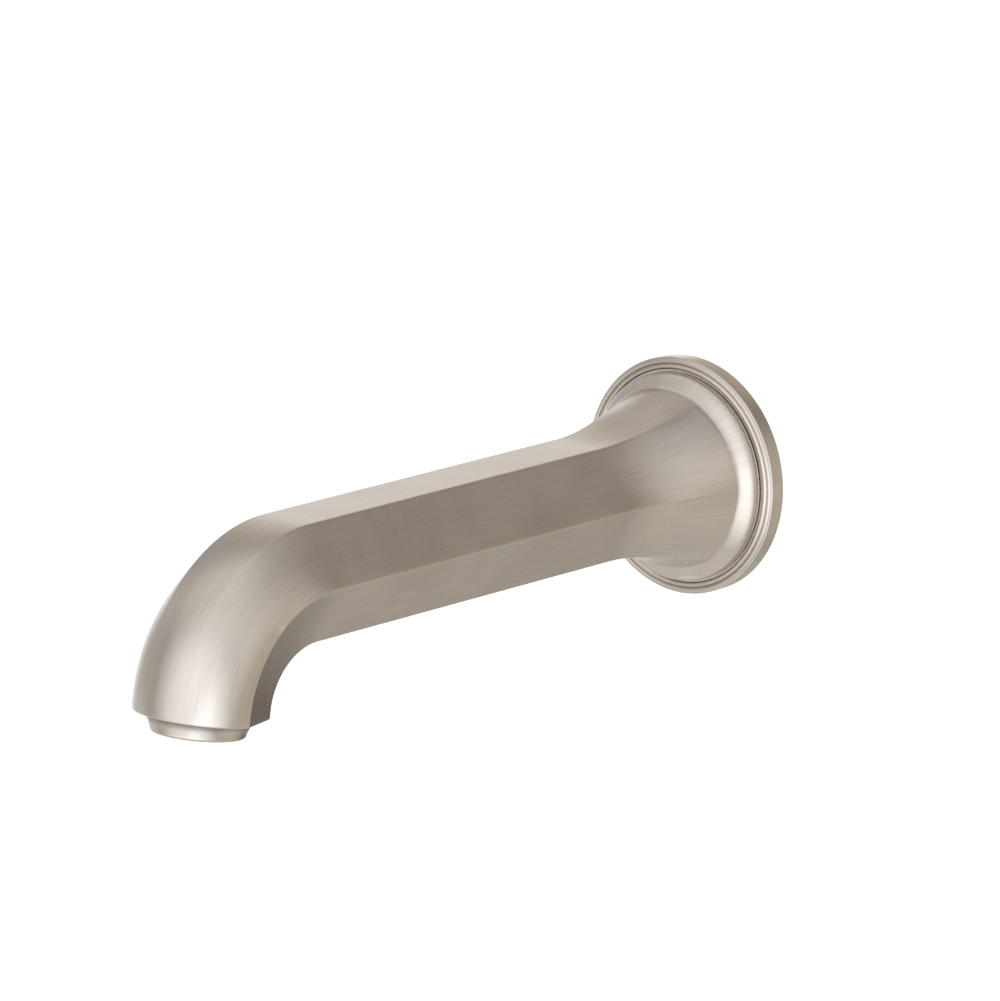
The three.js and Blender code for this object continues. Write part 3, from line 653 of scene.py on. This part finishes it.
def threaded_collar():
    """Tapered collar, its screwed barrel and the in-turned mouth, as one sheet closed on itself."""
    root = AERATOR_THREAD - THREAD_DEPTH
    bore, mouth, mouth_top = 10.9 * MM, 9.4 * MM, -COLLAR_DROP + 1.2 * MM
    foot, ease, break_edge, top_ease = COLLAR_TOP_RADIUS - 1.5 * MM, 0.9 * MM, 0.15 * MM, 0.3 * MM
    outline = [(root, BARREL_TOP), (bore + break_edge, BARREL_TOP), (bore, BARREL_TOP - break_edge)]
    outline += [(bore, mouth_top), (mouth, mouth_top)]
    outline += [(mouth, -COLLAR_DROP + break_edge), (mouth + break_edge, -COLLAR_DROP)]
    outline += reversed(arc((foot - ease, -COLLAR_DROP + ease), ease, 12, -90, 8))
    outline += [(COLLAR_TOP_RADIUS - 0.05 * MM, -GAP - top_ease)]
    outline += [(COLLAR_TOP_RADIUS - top_ease, -GAP), (root, -GAP)]
    rows = threaded_sleeve_rings(-GAP, BARREL_TOP, AERATOR_THREAD, root)
    turn = [2 * math.pi * i / COLLAR_STEPS for i in range(COLLAR_STEPS + 1)]
    for radius, height in outline:
        rows.append([(radius * math.cos(a), height, -radius * math.sin(a)) for a in turn])
    bpy.ops.mesh.primitive_grid_add(
        x_subdivisions=COLLAR_STEPS, y_subdivisions=len(rows) - 1, size=2)
    piece = named("threaded_collar")
    piece.data.vertices.foreach_set("co", [c for row in rows for point in row for c in point])
    return smooth(at_outlet(weld(piece)), 35)


def plastic_housing():
    inner, outer, lip, brim = 9.5 * MM, 10.6 * MM, 8.6 * MM, 11.7 * MM
    bottom, flange, top = -3.4 * MM, 5.7 * MM, 6.5 * MM
    lip_top, ease = bottom + 0.9 * MM, 0.12 * MM
    outline = [(lip + ease, bottom), (outer - ease, bottom), (outer, bottom + ease), (outer, flange)]
    outline += [(brim - ease, flange), (brim, flange + ease), (brim, top - ease)]
    outline += [(brim - ease, top), (inner + ease, top), (inner, top - ease)]
    outline += [(inner, lip_top), (lip, lip_top), (lip, bottom + ease)]
    return smooth(at_outlet(spun("housing_sleeve", outline, 96)), 40)


def honeycomb():
    """The mouth's flow straightener: a disc cut right through by six-sided cells."""
    radius, rim, depth = 9.2 * MM, 0.35 * MM, 2.2 * MM
    pitch, cell = 2.35 * MM, 1.18 * MM
    bpy.ops.mesh.primitive_cylinder_add(
        vertices=96, radius=radius, depth=depth, location=(0, -depth / 2, 0), rotation=ALONG_Y)
    disc = settle(named("honeycomb_disc"))
    deselect_all()
    cutters = []
    for row in range(-5, 6):
        for column in range(-6, 6):
            x = (column + abs(row % 2) / 2) * pitch
            z = row * pitch * math.sin(math.pi / 3)
            if math.hypot(x, z) + cell > radius - rim:
                continue
            bpy.ops.mesh.primitive_cylinder_add(
                vertices=6, radius=cell, depth=3 * depth, location=(x, -depth / 2, z),
                rotation=ALONG_Y)
            cutters.append(bpy.context.object)
    deselect_all()
    for cutter in cutters:
        cutter.select_set(True)
    bpy.context.view_layer.objects.active = cutters[0]
    bpy.ops.object.join()
    cut_or_join(disc, settle(named("cells")), "DIFFERENCE")
    return smooth(at_outlet(disc), 30)


# ---------------------------------------------------------------- finishes: shared effects

def new_group(name, inputs, outputs):
    group = bpy.data.node_groups.new(name, "ShaderNodeTree")
    for label, kind, default in inputs:
        socket = group.interface.new_socket(name=label, in_out="INPUT", socket_type=kind)
        if default is not None:
            socket.default_value = default
    for label, kind in outputs:
        group.interface.new_socket(name=label, in_out="OUTPUT", socket_type=kind)
    start = group.nodes.new("NodeGroupInput")
    end = group.nodes.new("NodeGroupOutput")
    return group, start, end


def math_node(tree, operation, first, second=None):
    node = tree.nodes.new("ShaderNodeMath")
    node.operation = operation
    for socket, value in zip(node.inputs, (first, second)):
        if value is None:
            continue
        if isinstance(value, (int, float)):
            socket.default_value = value
        else:
            tree.links.new(value, socket)
    return node.outputs[0]


def noise(tree, vector, scale, detail=2, roughness=0.5):
    node = tree.nodes.new("ShaderNodeTexNoise")
    node.inputs["Scale"].default_value = scale
    node.inputs["Detail"].default_value = detail
    node.inputs["Roughness"].default_value = roughness
    tree.links.new(vector, node.inputs["Vector"])
    return node.outputs["Fac"]


def stretched(tree, vector, scale):
    node = tree.nodes.new("ShaderNodeMapping")
    node.inputs["Scale"].default_value = scale
    tree.links.new(vector, node.inputs["Vector"])
    return node.outputs[0]


def ranged(tree, value, low, high, out_low=0.0, out_high=1.0):
    node = tree.nodes.new("ShaderNodeMapRange")
    node.interpolation_type = "SMOOTHSTEP"
    tree.links.new(value, node.inputs["Value"])
    for label, number in (("From Min", low), ("From Max", high), ("To Min", out_low),
                          ("To Max", out_high)):
        node.inputs[label].default_value = number
    return node.outputs["Result"]


# Brush lines in three sizes, as noise cells to a metre: across, along and across.
HAIR_LINES = (9000, 190, 9000)
BRUSH_LINES = (4200, 110, 4200)
BRUSH_STREAKS = (2100, 60, 2100)


def brushing_group():
    """Fine parallel brush lines along the second axis of the vector, in three sizes."""
    group, start, end = new_group(
        "brushing",
        [("Vector", "NodeSocketVector", None), ("Lines", "NodeSocketFloat", 1.0)],
        [("Fine", "NodeSocketFloat"), ("Streaks", "NodeSocketFloat"), ("Height", "NodeSocketFloat")],
    )
    vector = start.outputs["Vector"]
    hair = noise(group, stretched(group, vector, HAIR_LINES), 1, 2)
    line = noise(group, stretched(group, vector, BRUSH_LINES), 1, 3)
    streak = noise(group, stretched(group, vector, BRUSH_STREAKS), 1, 3)
    fine = math_node(group, "ADD", math_node(group, "MULTIPLY", hair, 0.55),
                     math_node(group, "MULTIPLY", line, 0.45))
    streaks = ranged(group, streak, 0.3, 0.7)
    height = math_node(group, "ADD", fine, math_node(group, "MULTIPLY", streak, 0.6))
    group.links.new(fine, end.inputs["Fine"])
    group.links.new(streaks, end.inputs["Streaks"])
    group.links.new(math_node(group, "MULTIPLY", height, start.outputs["Lines"]), end.inputs["Height"])
    return group


def clouding_group():
    """Slow changes of tone and small bright specks over a plated surface."""
    group, start, end = new_group(
        "clouding",
        [("Vector", "NodeSocketVector", None)],
        [("Clouds", "NodeSocketFloat"), ("Specks", "NodeSocketFloat"), ("Grain", "NodeSocketFloat")],
    )
    vector = start.outputs["Vector"]
    clouds = noise(group, vector, 38, 4, 0.55)
    specks = group.nodes.new("ShaderNodeTexVoronoi")
    specks.inputs["Scale"].default_value = 420
    group.links.new(vector, specks.inputs["Vector"])
    dot = ranged(group, specks.outputs["Distance"], 0.16, 0.05)
    chosen = ranged(group, noise(group, vector, 310, 1), 0.56, 0.66)
    group.links.new(ranged(group, clouds, 0.3, 0.7), end.inputs["Clouds"])
    group.links.new(math_node(group, "MULTIPLY", dot, chosen), end.inputs["Specks"])
    group.links.new(noise(group, vector, 5200, 2), end.inputs["Grain"])
    return group


def wear_and_hollow_shade_group():
    """Polished edges: how sharply the surface turns outwards, broken up a little; and painted shade in
    hollows, where the surface turns inwards.
    """
    group, start, end = new_group(
        "wear_and_hollow_shade",
        [("Vector", "NodeSocketVector", None), ("From", "NodeSocketFloat", 0.52),
         ("To", "NodeSocketFloat", 0.6)],
        [("Edge", "NodeSocketFloat"), ("Hollow Shade", "NodeSocketFloat")],
    )
    geometry = group.nodes.new("ShaderNodeNewGeometry")
    edge = group.nodes.new("ShaderNodeMapRange")
    group.links.new(geometry.outputs["Pointiness"], edge.inputs["Value"])
    group.links.new(start.outputs["From"], edge.inputs["From Min"])
    group.links.new(start.outputs["To"], edge.inputs["From Max"])
    broken = ranged(group, noise(group, start.outputs["Vector"], 900, 3), 0.2, 0.8, 0.55, 1.0)
    group.links.new(math_node(group, "MULTIPLY", edge.outputs["Result"], broken), end.inputs["Edge"])
    # Hollow Shade: painted shade, strongest where the surface turns inwards into creases and recesses.
    group.links.new(ranged(group, geometry.outputs["Pointiness"], 0.48, 0.4), end.inputs["Hollow Shade"])
    return group


def turning_group():
    """Round and along coordinates of a piece turned about an axis: x along, y round, z radius."""
    group, start, end = new_group(
        "turning",
        [("Vector", "NodeSocketVector", None)],
        [("Vector", "NodeSocketVector")],
    )
    parts = group.nodes.new("ShaderNodeSeparateXYZ")
    group.links.new(start.outputs["Vector"], parts.inputs[0])
    x, y, z = parts.outputs
    radius = math_node(group, "SQRT", math_node(
        group, "ADD", math_node(group, "MULTIPLY", x, x), math_node(group, "MULTIPLY", z, z)))
    angle = math_node(group, "ARCTAN2", z, x)
    both = group.nodes.new("ShaderNodeCombineXYZ")
    group.links.new(math_node(group, "ADD", y, radius), both.inputs["X"])
    group.links.new(math_node(group, "MULTIPLY", angle, 0.02), both.inputs["Y"])
    group.links.new(math_node(group, "SUBTRACT", y, radius), both.inputs["Z"])
    group.links.new(both.outputs[0], end.inputs["Vector"])
    return group


BRUSHING = brushing_group()
CLOUDING = clouding_group()
WEAR_AND_HOLLOW_SHADE = wear_and_hollow_shade_group()
TURNING = turning_group()


# ---------------------------------------------------------------- finishes: materials

SPECK_TINT = (0.9, 0.88, 0.84)
WORN_TINT = (0.86, 0.83, 0.78)
# Dark tint of the painted shade laid into hollows and creases.
HOLLOW_SHADE_TINT = (0.2, 0.17, 0.14)
SHADE_TINT = (0.17, 0.15, 0.13)
BRUSH_HEIGHT = 0.02 * MM
MACHINED_HEIGHT = 0.03 * MM
GRAIN_HEIGHT = 0.02 * MM
CELL_HEIGHT = 0.2 * MM


class Finish:
    """A material in the making: its tree, its shader and the coordinates it reads."""

    def __init__(self, name):
        self.material = bpy.data.materials.new(name)
        self.material.use_nodes = True
        self.tree = self.material.node_tree
        self.shader = self.tree.nodes["Principled BSDF"]
        self.place = self.tree.nodes.new("ShaderNodeTexCoord").outputs["Object"]

    def link(self, output, socket):
        self.tree.links.new(output, self.shader.inputs[socket])

    def group(self, tree, vector, **values):
        node = self.tree.nodes.new("ShaderNodeGroup")
        node.node_tree = tree
        self.tree.links.new(vector, node.inputs["Vector"])
        for label, value in values.items():
            node.inputs[label].default_value = value
        return node

    def mix(self, factor, first, second):
        node = self.tree.nodes.new("ShaderNodeMix")
        node.data_type = "RGBA"
        if isinstance(factor, (int, float)):
            node.inputs[0].default_value = factor
        else:
            self.tree.links.new(factor, node.inputs[0])
        for socket, value in ((node.inputs[6], first), (node.inputs[7], second)):
            if isinstance(value, tuple):
                socket.default_value = (*value, 1)
            else:
                self.tree.links.new(value, socket)
        return node.outputs[2]

    def sum(self, *terms):
        total = None
        for value, weight in terms:
            part = math_node(self.tree, "MULTIPLY", value, weight)
            total = part if total is None else math_node(self.tree, "ADD", total, part)
        return total

    def bump(self, height, strength, distance):
        node = self.tree.nodes.new("ShaderNodeBump")
        node.inputs["Strength"].default_value = strength
        node.inputs["Distance"].default_value = distance
        self.tree.links.new(height, node.inputs["Height"])
        self.link(node.outputs[0], "Normal")


def outlet_coordinates(finish):
    """Object coordinates carried into the aerator's own frame."""
    node = finish.tree.nodes.new("ShaderNodeMapping")
    node.vector_type = "TEXTURE"
    node.inputs["Location"].default_value = OUTLET_MIDDLE
    node.inputs["Rotation"].default_value = (BEND_ANGLE, 0, 0)
    finish.tree.links.new(finish.place, node.inputs["Vector"])
    return node.outputs[0]


def brushed_nickel(name, light, dark, vector_of, roughness, streak_depth=0.5, specks=0.5,
                   shade_of=None):
    """Warm nickel plate with brush lines, slow clouding, small specks and polished edges, with painted
    shade in hollows and, where shade_of is given, painted shade from it.
    """
    finish = Finish(name)
    along = vector_of(finish)
    lines = finish.group(BRUSHING, along, Lines=1.0)
    clouds = finish.group(CLOUDING, finish.place)
    wear_and_shade = finish.group(WEAR_AND_HOLLOW_SHADE, finish.place, From=0.515, To=0.56)
    tone = finish.sum((lines.outputs["Streaks"], streak_depth), (clouds.outputs["Clouds"], 0.2),
                      (lines.outputs["Fine"], 0.3))
    base = finish.mix(tone, dark, light)
    base = finish.mix(math_node(finish.tree, "MULTIPLY", clouds.outputs["Specks"], specks),
                      base, SPECK_TINT)
    worn = math_node(finish.tree, "MULTIPLY", wear_and_shade.outputs["Edge"], 0.55)
    base = finish.mix(worn, base, WORN_TINT)
    # Painted shade: the base colour is darkened in hollows and creases.
    hollow = math_node(finish.tree, "MULTIPLY", wear_and_shade.outputs["Hollow Shade"], 0.35)
    base = finish.mix(hollow, base, HOLLOW_SHADE_TINT)
    if shade_of:
        base = finish.mix(shade_of(finish), base, SHADE_TINT)
    finish.link(base, "Base Color")
    rough = finish.sum((lines.outputs["Fine"], 0.12), (clouds.outputs["Clouds"], 0.05))
    rough = math_node(finish.tree, "ADD", rough, roughness)
    rough = math_node(finish.tree, "SUBTRACT", rough,
                      math_node(finish.tree, "MULTIPLY", wear_and_shade.outputs["Edge"], 0.08))
    finish.link(rough, "Roughness")
    finish.shader.inputs["Metallic"].default_value = 1.0
    finish.bump(lines.outputs["Height"], 0.25, BRUSH_HEIGHT)
    return finish.material


def sheet_coordinates(finish):
    node = finish.tree.nodes.new("ShaderNodeUVMap")
    node.uv_map = "UVMap"
    return node.outputs[0]


def turned_coordinates(finish):
    return finish.group(TURNING, finish.place).outputs[0]


def turned_outlet_coordinates(finish):
    return finish.group(TURNING, outlet_coordinates(finish)).outputs[0]


SHADE_START = -0.5 * MM
SHADE_END = -2.7 * MM
SHADE_DEPTH = 0.62


def shade_under_rim(finish):
    """Where the collar stands close under the outlet's rim and sees little light."""
    parts = finish.tree.nodes.new("ShaderNodeSeparateXYZ")
    finish.tree.links.new(outlet_coordinates(finish), parts.inputs[0])
    return ranged(finish.tree, parts.outputs["Y"], SHADE_END, SHADE_START, 0.0, SHADE_DEPTH)


def machined_metal(name, light, dark, roughness, vector_of):
    finish = Finish(name)
    lines = finish.group(BRUSHING, vector_of(finish), Lines=1.0)
    clouds = finish.group(CLOUDING, finish.place)
    wear_and_shade = finish.group(WEAR_AND_HOLLOW_SHADE, finish.place, From=0.52, To=0.62)
    tone = finish.sum((lines.outputs["Streaks"], 0.4), (clouds.outputs["Clouds"], 0.6))
    base = finish.mix(tone, dark, light)
    base = finish.mix(math_node(finish.tree, "MULTIPLY", wear_and_shade.outputs["Edge"], 0.5), base,
                      tuple(min(1, c * 1.25) for c in light))
    finish.link(base, "Base Color")
    finish.link(math_node(finish.tree, "ADD", finish.sum((clouds.outputs["Clouds"], 0.14)), roughness),
                "Roughness")
    finish.shader.inputs["Metallic"].default_value = 1.0
    finish.bump(lines.outputs["Height"], 0.3, MACHINED_HEIGHT)
    return finish.material


def moulded(name, light, dark, roughness, grain=0.1):
    """Plastic, rubber or foam: clouded tone, fine grain and scuffed edges."""
    finish = Finish(name)
    clouds = finish.group(CLOUDING, finish.place)
    wear_and_shade = finish.group(WEAR_AND_HOLLOW_SHADE, finish.place, From=0.52, To=0.62)
    tone = finish.sum((clouds.outputs["Clouds"], 0.7), (clouds.outputs["Grain"], 0.3))
    base = finish.mix(tone, dark, light)
    scuffed = tuple(min(1, c * 1.3 + 0.02) for c in light)
    base = finish.mix(math_node(finish.tree, "MULTIPLY", wear_and_shade.outputs["Edge"], 0.5), base, scuffed)
    finish.link(base, "Base Color")
    finish.link(math_node(finish.tree, "ADD", finish.sum((clouds.outputs["Grain"], 0.18)), roughness),
                "Roughness")
    finish.bump(clouds.outputs["Grain"], grain, GRAIN_HEIGHT)
    return finish.material


def cell_foam(name):
    """Closed cell foam: small open-topped cells in a dark grey skin."""
    finish = Finish(name)
    cells = finish.tree.nodes.new("ShaderNodeTexVoronoi")
    cells.inputs["Scale"].default_value = 1500
    finish.tree.links.new(finish.place, cells.inputs["Vector"])
    clouds = finish.group(CLOUDING, finish.place)
    depth = ranged(finish.tree, cells.outputs["Distance"], 0.1, 0.55)
    tone = finish.sum((depth, 0.6), (clouds.outputs["Clouds"], 0.4))
    finish.link(finish.mix(tone, (0.055, 0.055, 0.06), (0.17, 0.17, 0.175)), "Base Color")
    finish.link(math_node(finish.tree, "ADD", finish.sum((depth, 0.1)), 0.85), "Roughness")
    finish.bump(depth, 0.6, CELL_HEIGHT)
    return finish.material


NICKEL_LIGHT = (0.75, 0.69, 0.61)
NICKEL_DARK = (0.58, 0.53, 0.465)

spout_nickel = brushed_nickel("warm_brushed_nickel", NICKEL_LIGHT, NICKEL_DARK, sheet_coordinates,
                              0.2, 0.3)
plate_nickel = brushed_nickel("turned_brushed_nickel", NICKEL_LIGHT, NICKEL_DARK, turned_coordinates,
                              0.2, 0.3)
collar_nickel = brushed_nickel("satin_collar_nickel", NICKEL_LIGHT, NICKEL_DARK,
                               turned_outlet_coordinates, 0.2, 0.3, 0.2, shade_under_rim)
machined_brass = machined_metal("machined_brass", (0.78, 0.58, 0.28), (0.6, 0.42, 0.18), 0.24,
                                turned_coordinates)
screw_steel = machined_metal("dark_screw_steel", (0.42, 0.42, 0.43), (0.25, 0.25, 0.26), 0.3,
                             lambda finish: finish.place)
wire_steel = machined_metal("wire_screen_steel", (0.7, 0.7, 0.7), (0.5, 0.5, 0.5), 0.28,
                            lambda finish: finish.place)
gasket_foam = cell_foam("gasket_foam")
black_rubber = moulded("black_rubber", (0.03, 0.03, 0.03), (0.014, 0.014, 0.015), 0.55, 0.25)
white_plastic = moulded("white_moulded_plastic", (0.78, 0.78, 0.75), (0.66, 0.66, 0.63), 0.36)
grey_plastic = moulded("grey_moulded_plastic", (0.46, 0.49, 0.51), (0.36, 0.38, 0.4), 0.38)


# ---------------------------------------------------------------- dressing the object

def dress(piece, material):
    piece.data.materials.clear()
    piece.data.materials.append(material)
    return piece


def stand_for(piece, material, node, body):
    """A finer piece in place of a CAD node: given its material, put on that node's body, and the node
    hidden.
    """
    dress(piece, material)
    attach(piece, body)
    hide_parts(node)


def build_object():
    stand_for(cast_spout(), spout_nickel, "spout_body", "spout")
    stand_for(wall_plate(), plate_nickel, "wall_escutcheon", "spout")
    stand_for(foam_gasket(), gasket_foam, "wall_gasket", "spout")
    stand_for(brass_adapter(), machined_brass, "inlet_adapter", "spout")
    stand_for(threaded_collar(), collar_nickel, "aerator_shell", "aerator_collar")
    stand_for(plastic_housing(), white_plastic, "aerator_housing", "aerator_insert")
    stand_for(honeycomb(), grey_plastic, "aerator_straightener", "aerator_insert")
    kept = {
        "base_seal": black_rubber,
        "supply_washer": black_rubber,
        "spigot_seal_rear": black_rubber,
        "spigot_seal_front": black_rubber,
        "set_screw": screw_steel,
        "aerator_washer": black_rubber,
        "aerator_wire_screen": wire_steel,
        "aerator_splitter": white_plastic,
        "aerator_jet_plate": grey_plastic,
        "aerator_strainer": white_plastic,
    }
    for node, material in kept.items():
        dress(frame["nodes"][node], material)


build_object()


# ---------------------------------------------------------------- stage, light and camera

FLOOR_LEVEL = -1.6
FLOOR_SIZE = 80
FLOOR_GLOW = 0.7
CAMERA_AZIMUTH = math.radians(41.949)
CAMERA_ELEVATION = math.radians(13.525)
CAMERA_PLACE = Vector((0.906707, -1.091518, 0.332767))
CAMERA_LENS = 179.82


def pale_floor():
    bpy.ops.mesh.primitive_grid_add(x_subdivisions=8, y_subdivisions=8, size=FLOOR_SIZE,
                                    location=(0, 0, FLOOR_LEVEL))
    floor = settle(named("pale_floor"))
    finish = Finish("pale_floor")
    wobble = noise(finish.tree, finish.place, 0.4, 2)
    finish.link(finish.mix(wobble, (0.9, 0.9, 0.9), (0.93, 0.93, 0.93)), "Base Color")
    finish.shader.inputs["Roughness"].default_value = 0.9
    finish.shader.inputs["Specular IOR Level"].default_value = 0.0
    glow = finish.tree.nodes.new("ShaderNodeEmission")
    glow.inputs["Strength"].default_value = FLOOR_GLOW
    rays = finish.tree.nodes.new("ShaderNodeLightPath")
    clear = finish.tree.nodes.new("ShaderNodeBsdfTransparent")
    shown = finish.tree.nodes.new("ShaderNodeAddShader")
    finish.tree.links.new(finish.shader.outputs[0], shown.inputs[0])
    finish.tree.links.new(glow.outputs[0], shown.inputs[1])
    either = finish.tree.nodes.new("ShaderNodeMixShader")
    finish.tree.links.new(rays.outputs["Is Camera Ray"], either.inputs[0])
    finish.tree.links.new(clear.outputs[0], either.inputs[1])
    finish.tree.links.new(shown.outputs[0], either.inputs[2])
    output = finish.tree.nodes["Material Output"]
    finish.tree.links.new(either.outputs[0], output.inputs["Surface"])
    dress(floor, finish.material)


# Each soft lamp of the studio: the way it lies, half widths of its core and of its edge in
# degrees, its strength and its colour.
LAMPS = [
    ((0.28, -0.68, 0.67), 0, 99, 0.9, (0.96, 1.0, 1.04)),
    ((0.16, -0.99, 0), 0, 57, 0.5, (0.96, 1.0, 1.15)),
    ((-0.79, 0.61, -0.07), 0, 34, 0.85, (0.95, 1.0, 1.07)),
    ((-0.24, 0.88, 0.41), 16, 45, 0.42, (1.06, 1.0, 0.87)),
    ((-0.29, -0.14, -0.95), 0, 95, 0.71, (0.99, 1.01, 0.98)),
    ((-1, -0.06, 0.04), 9, 35, 0.33, (0.97, 1.0, 1.02)),
    ((0.86, 0.51, -0.1), 0, 60, 0.52, (1.05, 1.0, 0.9)),
    ((0.71, -0.62, -0.33), 0, 40, 0.85, (0.95, 1.0, 1.1)),
    ((-0.72, 0.19, 0.67), 0, 44, 0.34, (1.0, 1.0, 0.98)),
]
SKY_GLOW = (0.04, 0.012, 0.004)


def studio_light():
    """A soft surround painted by direction: a dim warm room with broad pale lamps in it."""
    world = bpy.data.worlds.new("studio")
    bpy.context.scene.world = world
    world.use_nodes = True
    tree = world.node_tree
    background = tree.nodes["Background"]
    way = tree.nodes.new("ShaderNodeTexCoord").outputs["Generated"]
    total = tree.nodes.new("ShaderNodeRGB").outputs[0]
    total.default_value = (*SKY_GLOW, 1)
    for direction, core, edge, strength, colour in LAMPS:
        dot = tree.nodes.new("ShaderNodeVectorMath")
        dot.operation = "DOT_PRODUCT"
        tree.links.new(way, dot.inputs[0])
        dot.inputs[1].default_value = Vector(direction).normalized()
        spread = ranged(tree, dot.outputs["Value"], math.cos(math.radians(edge)),
                        math.cos(math.radians(core)), 0.0, strength)
        lit = tree.nodes.new("ShaderNodeVectorMath")
        lit.operation = "MULTIPLY_ADD"
        tree.links.new(spread, lit.inputs[0])
        lit.inputs[1].default_value = colour
        tree.links.new(total, lit.inputs[2])
        total = lit.outputs[0]
    rays = tree.nodes.new("ShaderNodeLightPath")
    seen = tree.nodes.new("ShaderNodeMix")
    seen.data_type = "RGBA"
    seen.inputs[7].default_value = (0.98, 0.98, 0.98, 1)
    tree.links.new(rays.outputs["Is Camera Ray"], seen.inputs[0])
    tree.links.new(total, seen.inputs[6])
    tree.links.new(seen.outputs[2], background.inputs["Color"])


def camera():
    right = Vector((math.cos(CAMERA_AZIMUTH), math.sin(CAMERA_AZIMUTH), 0))
    level = Vector((math.sin(CAMERA_AZIMUTH), -math.cos(CAMERA_AZIMUTH), 0))
    back = level * math.cos(CAMERA_ELEVATION) + Vector((0, 0, math.sin(CAMERA_ELEVATION)))
    up = back.cross(right)
    data = bpy.data.cameras.new("camera")
    data.lens = CAMERA_LENS
    data.sensor_width = 36
    data.clip_start = 0.05
    data.clip_end = 200
    eye = bpy.data.objects.new("camera", data)
    bpy.context.scene.collection.objects.link(eye)
    turn = Matrix((right, up, back)).transposed().to_4x4()
    eye.matrix_world = Matrix.Translation(CAMERA_PLACE) @ turn
    bpy.context.scene.camera = eye


pale_floor()
studio_light()
camera()
bpy.context.scene.view_settings.view_transform = "Standard"
bpy.context.scene.view_settings.look = "None"
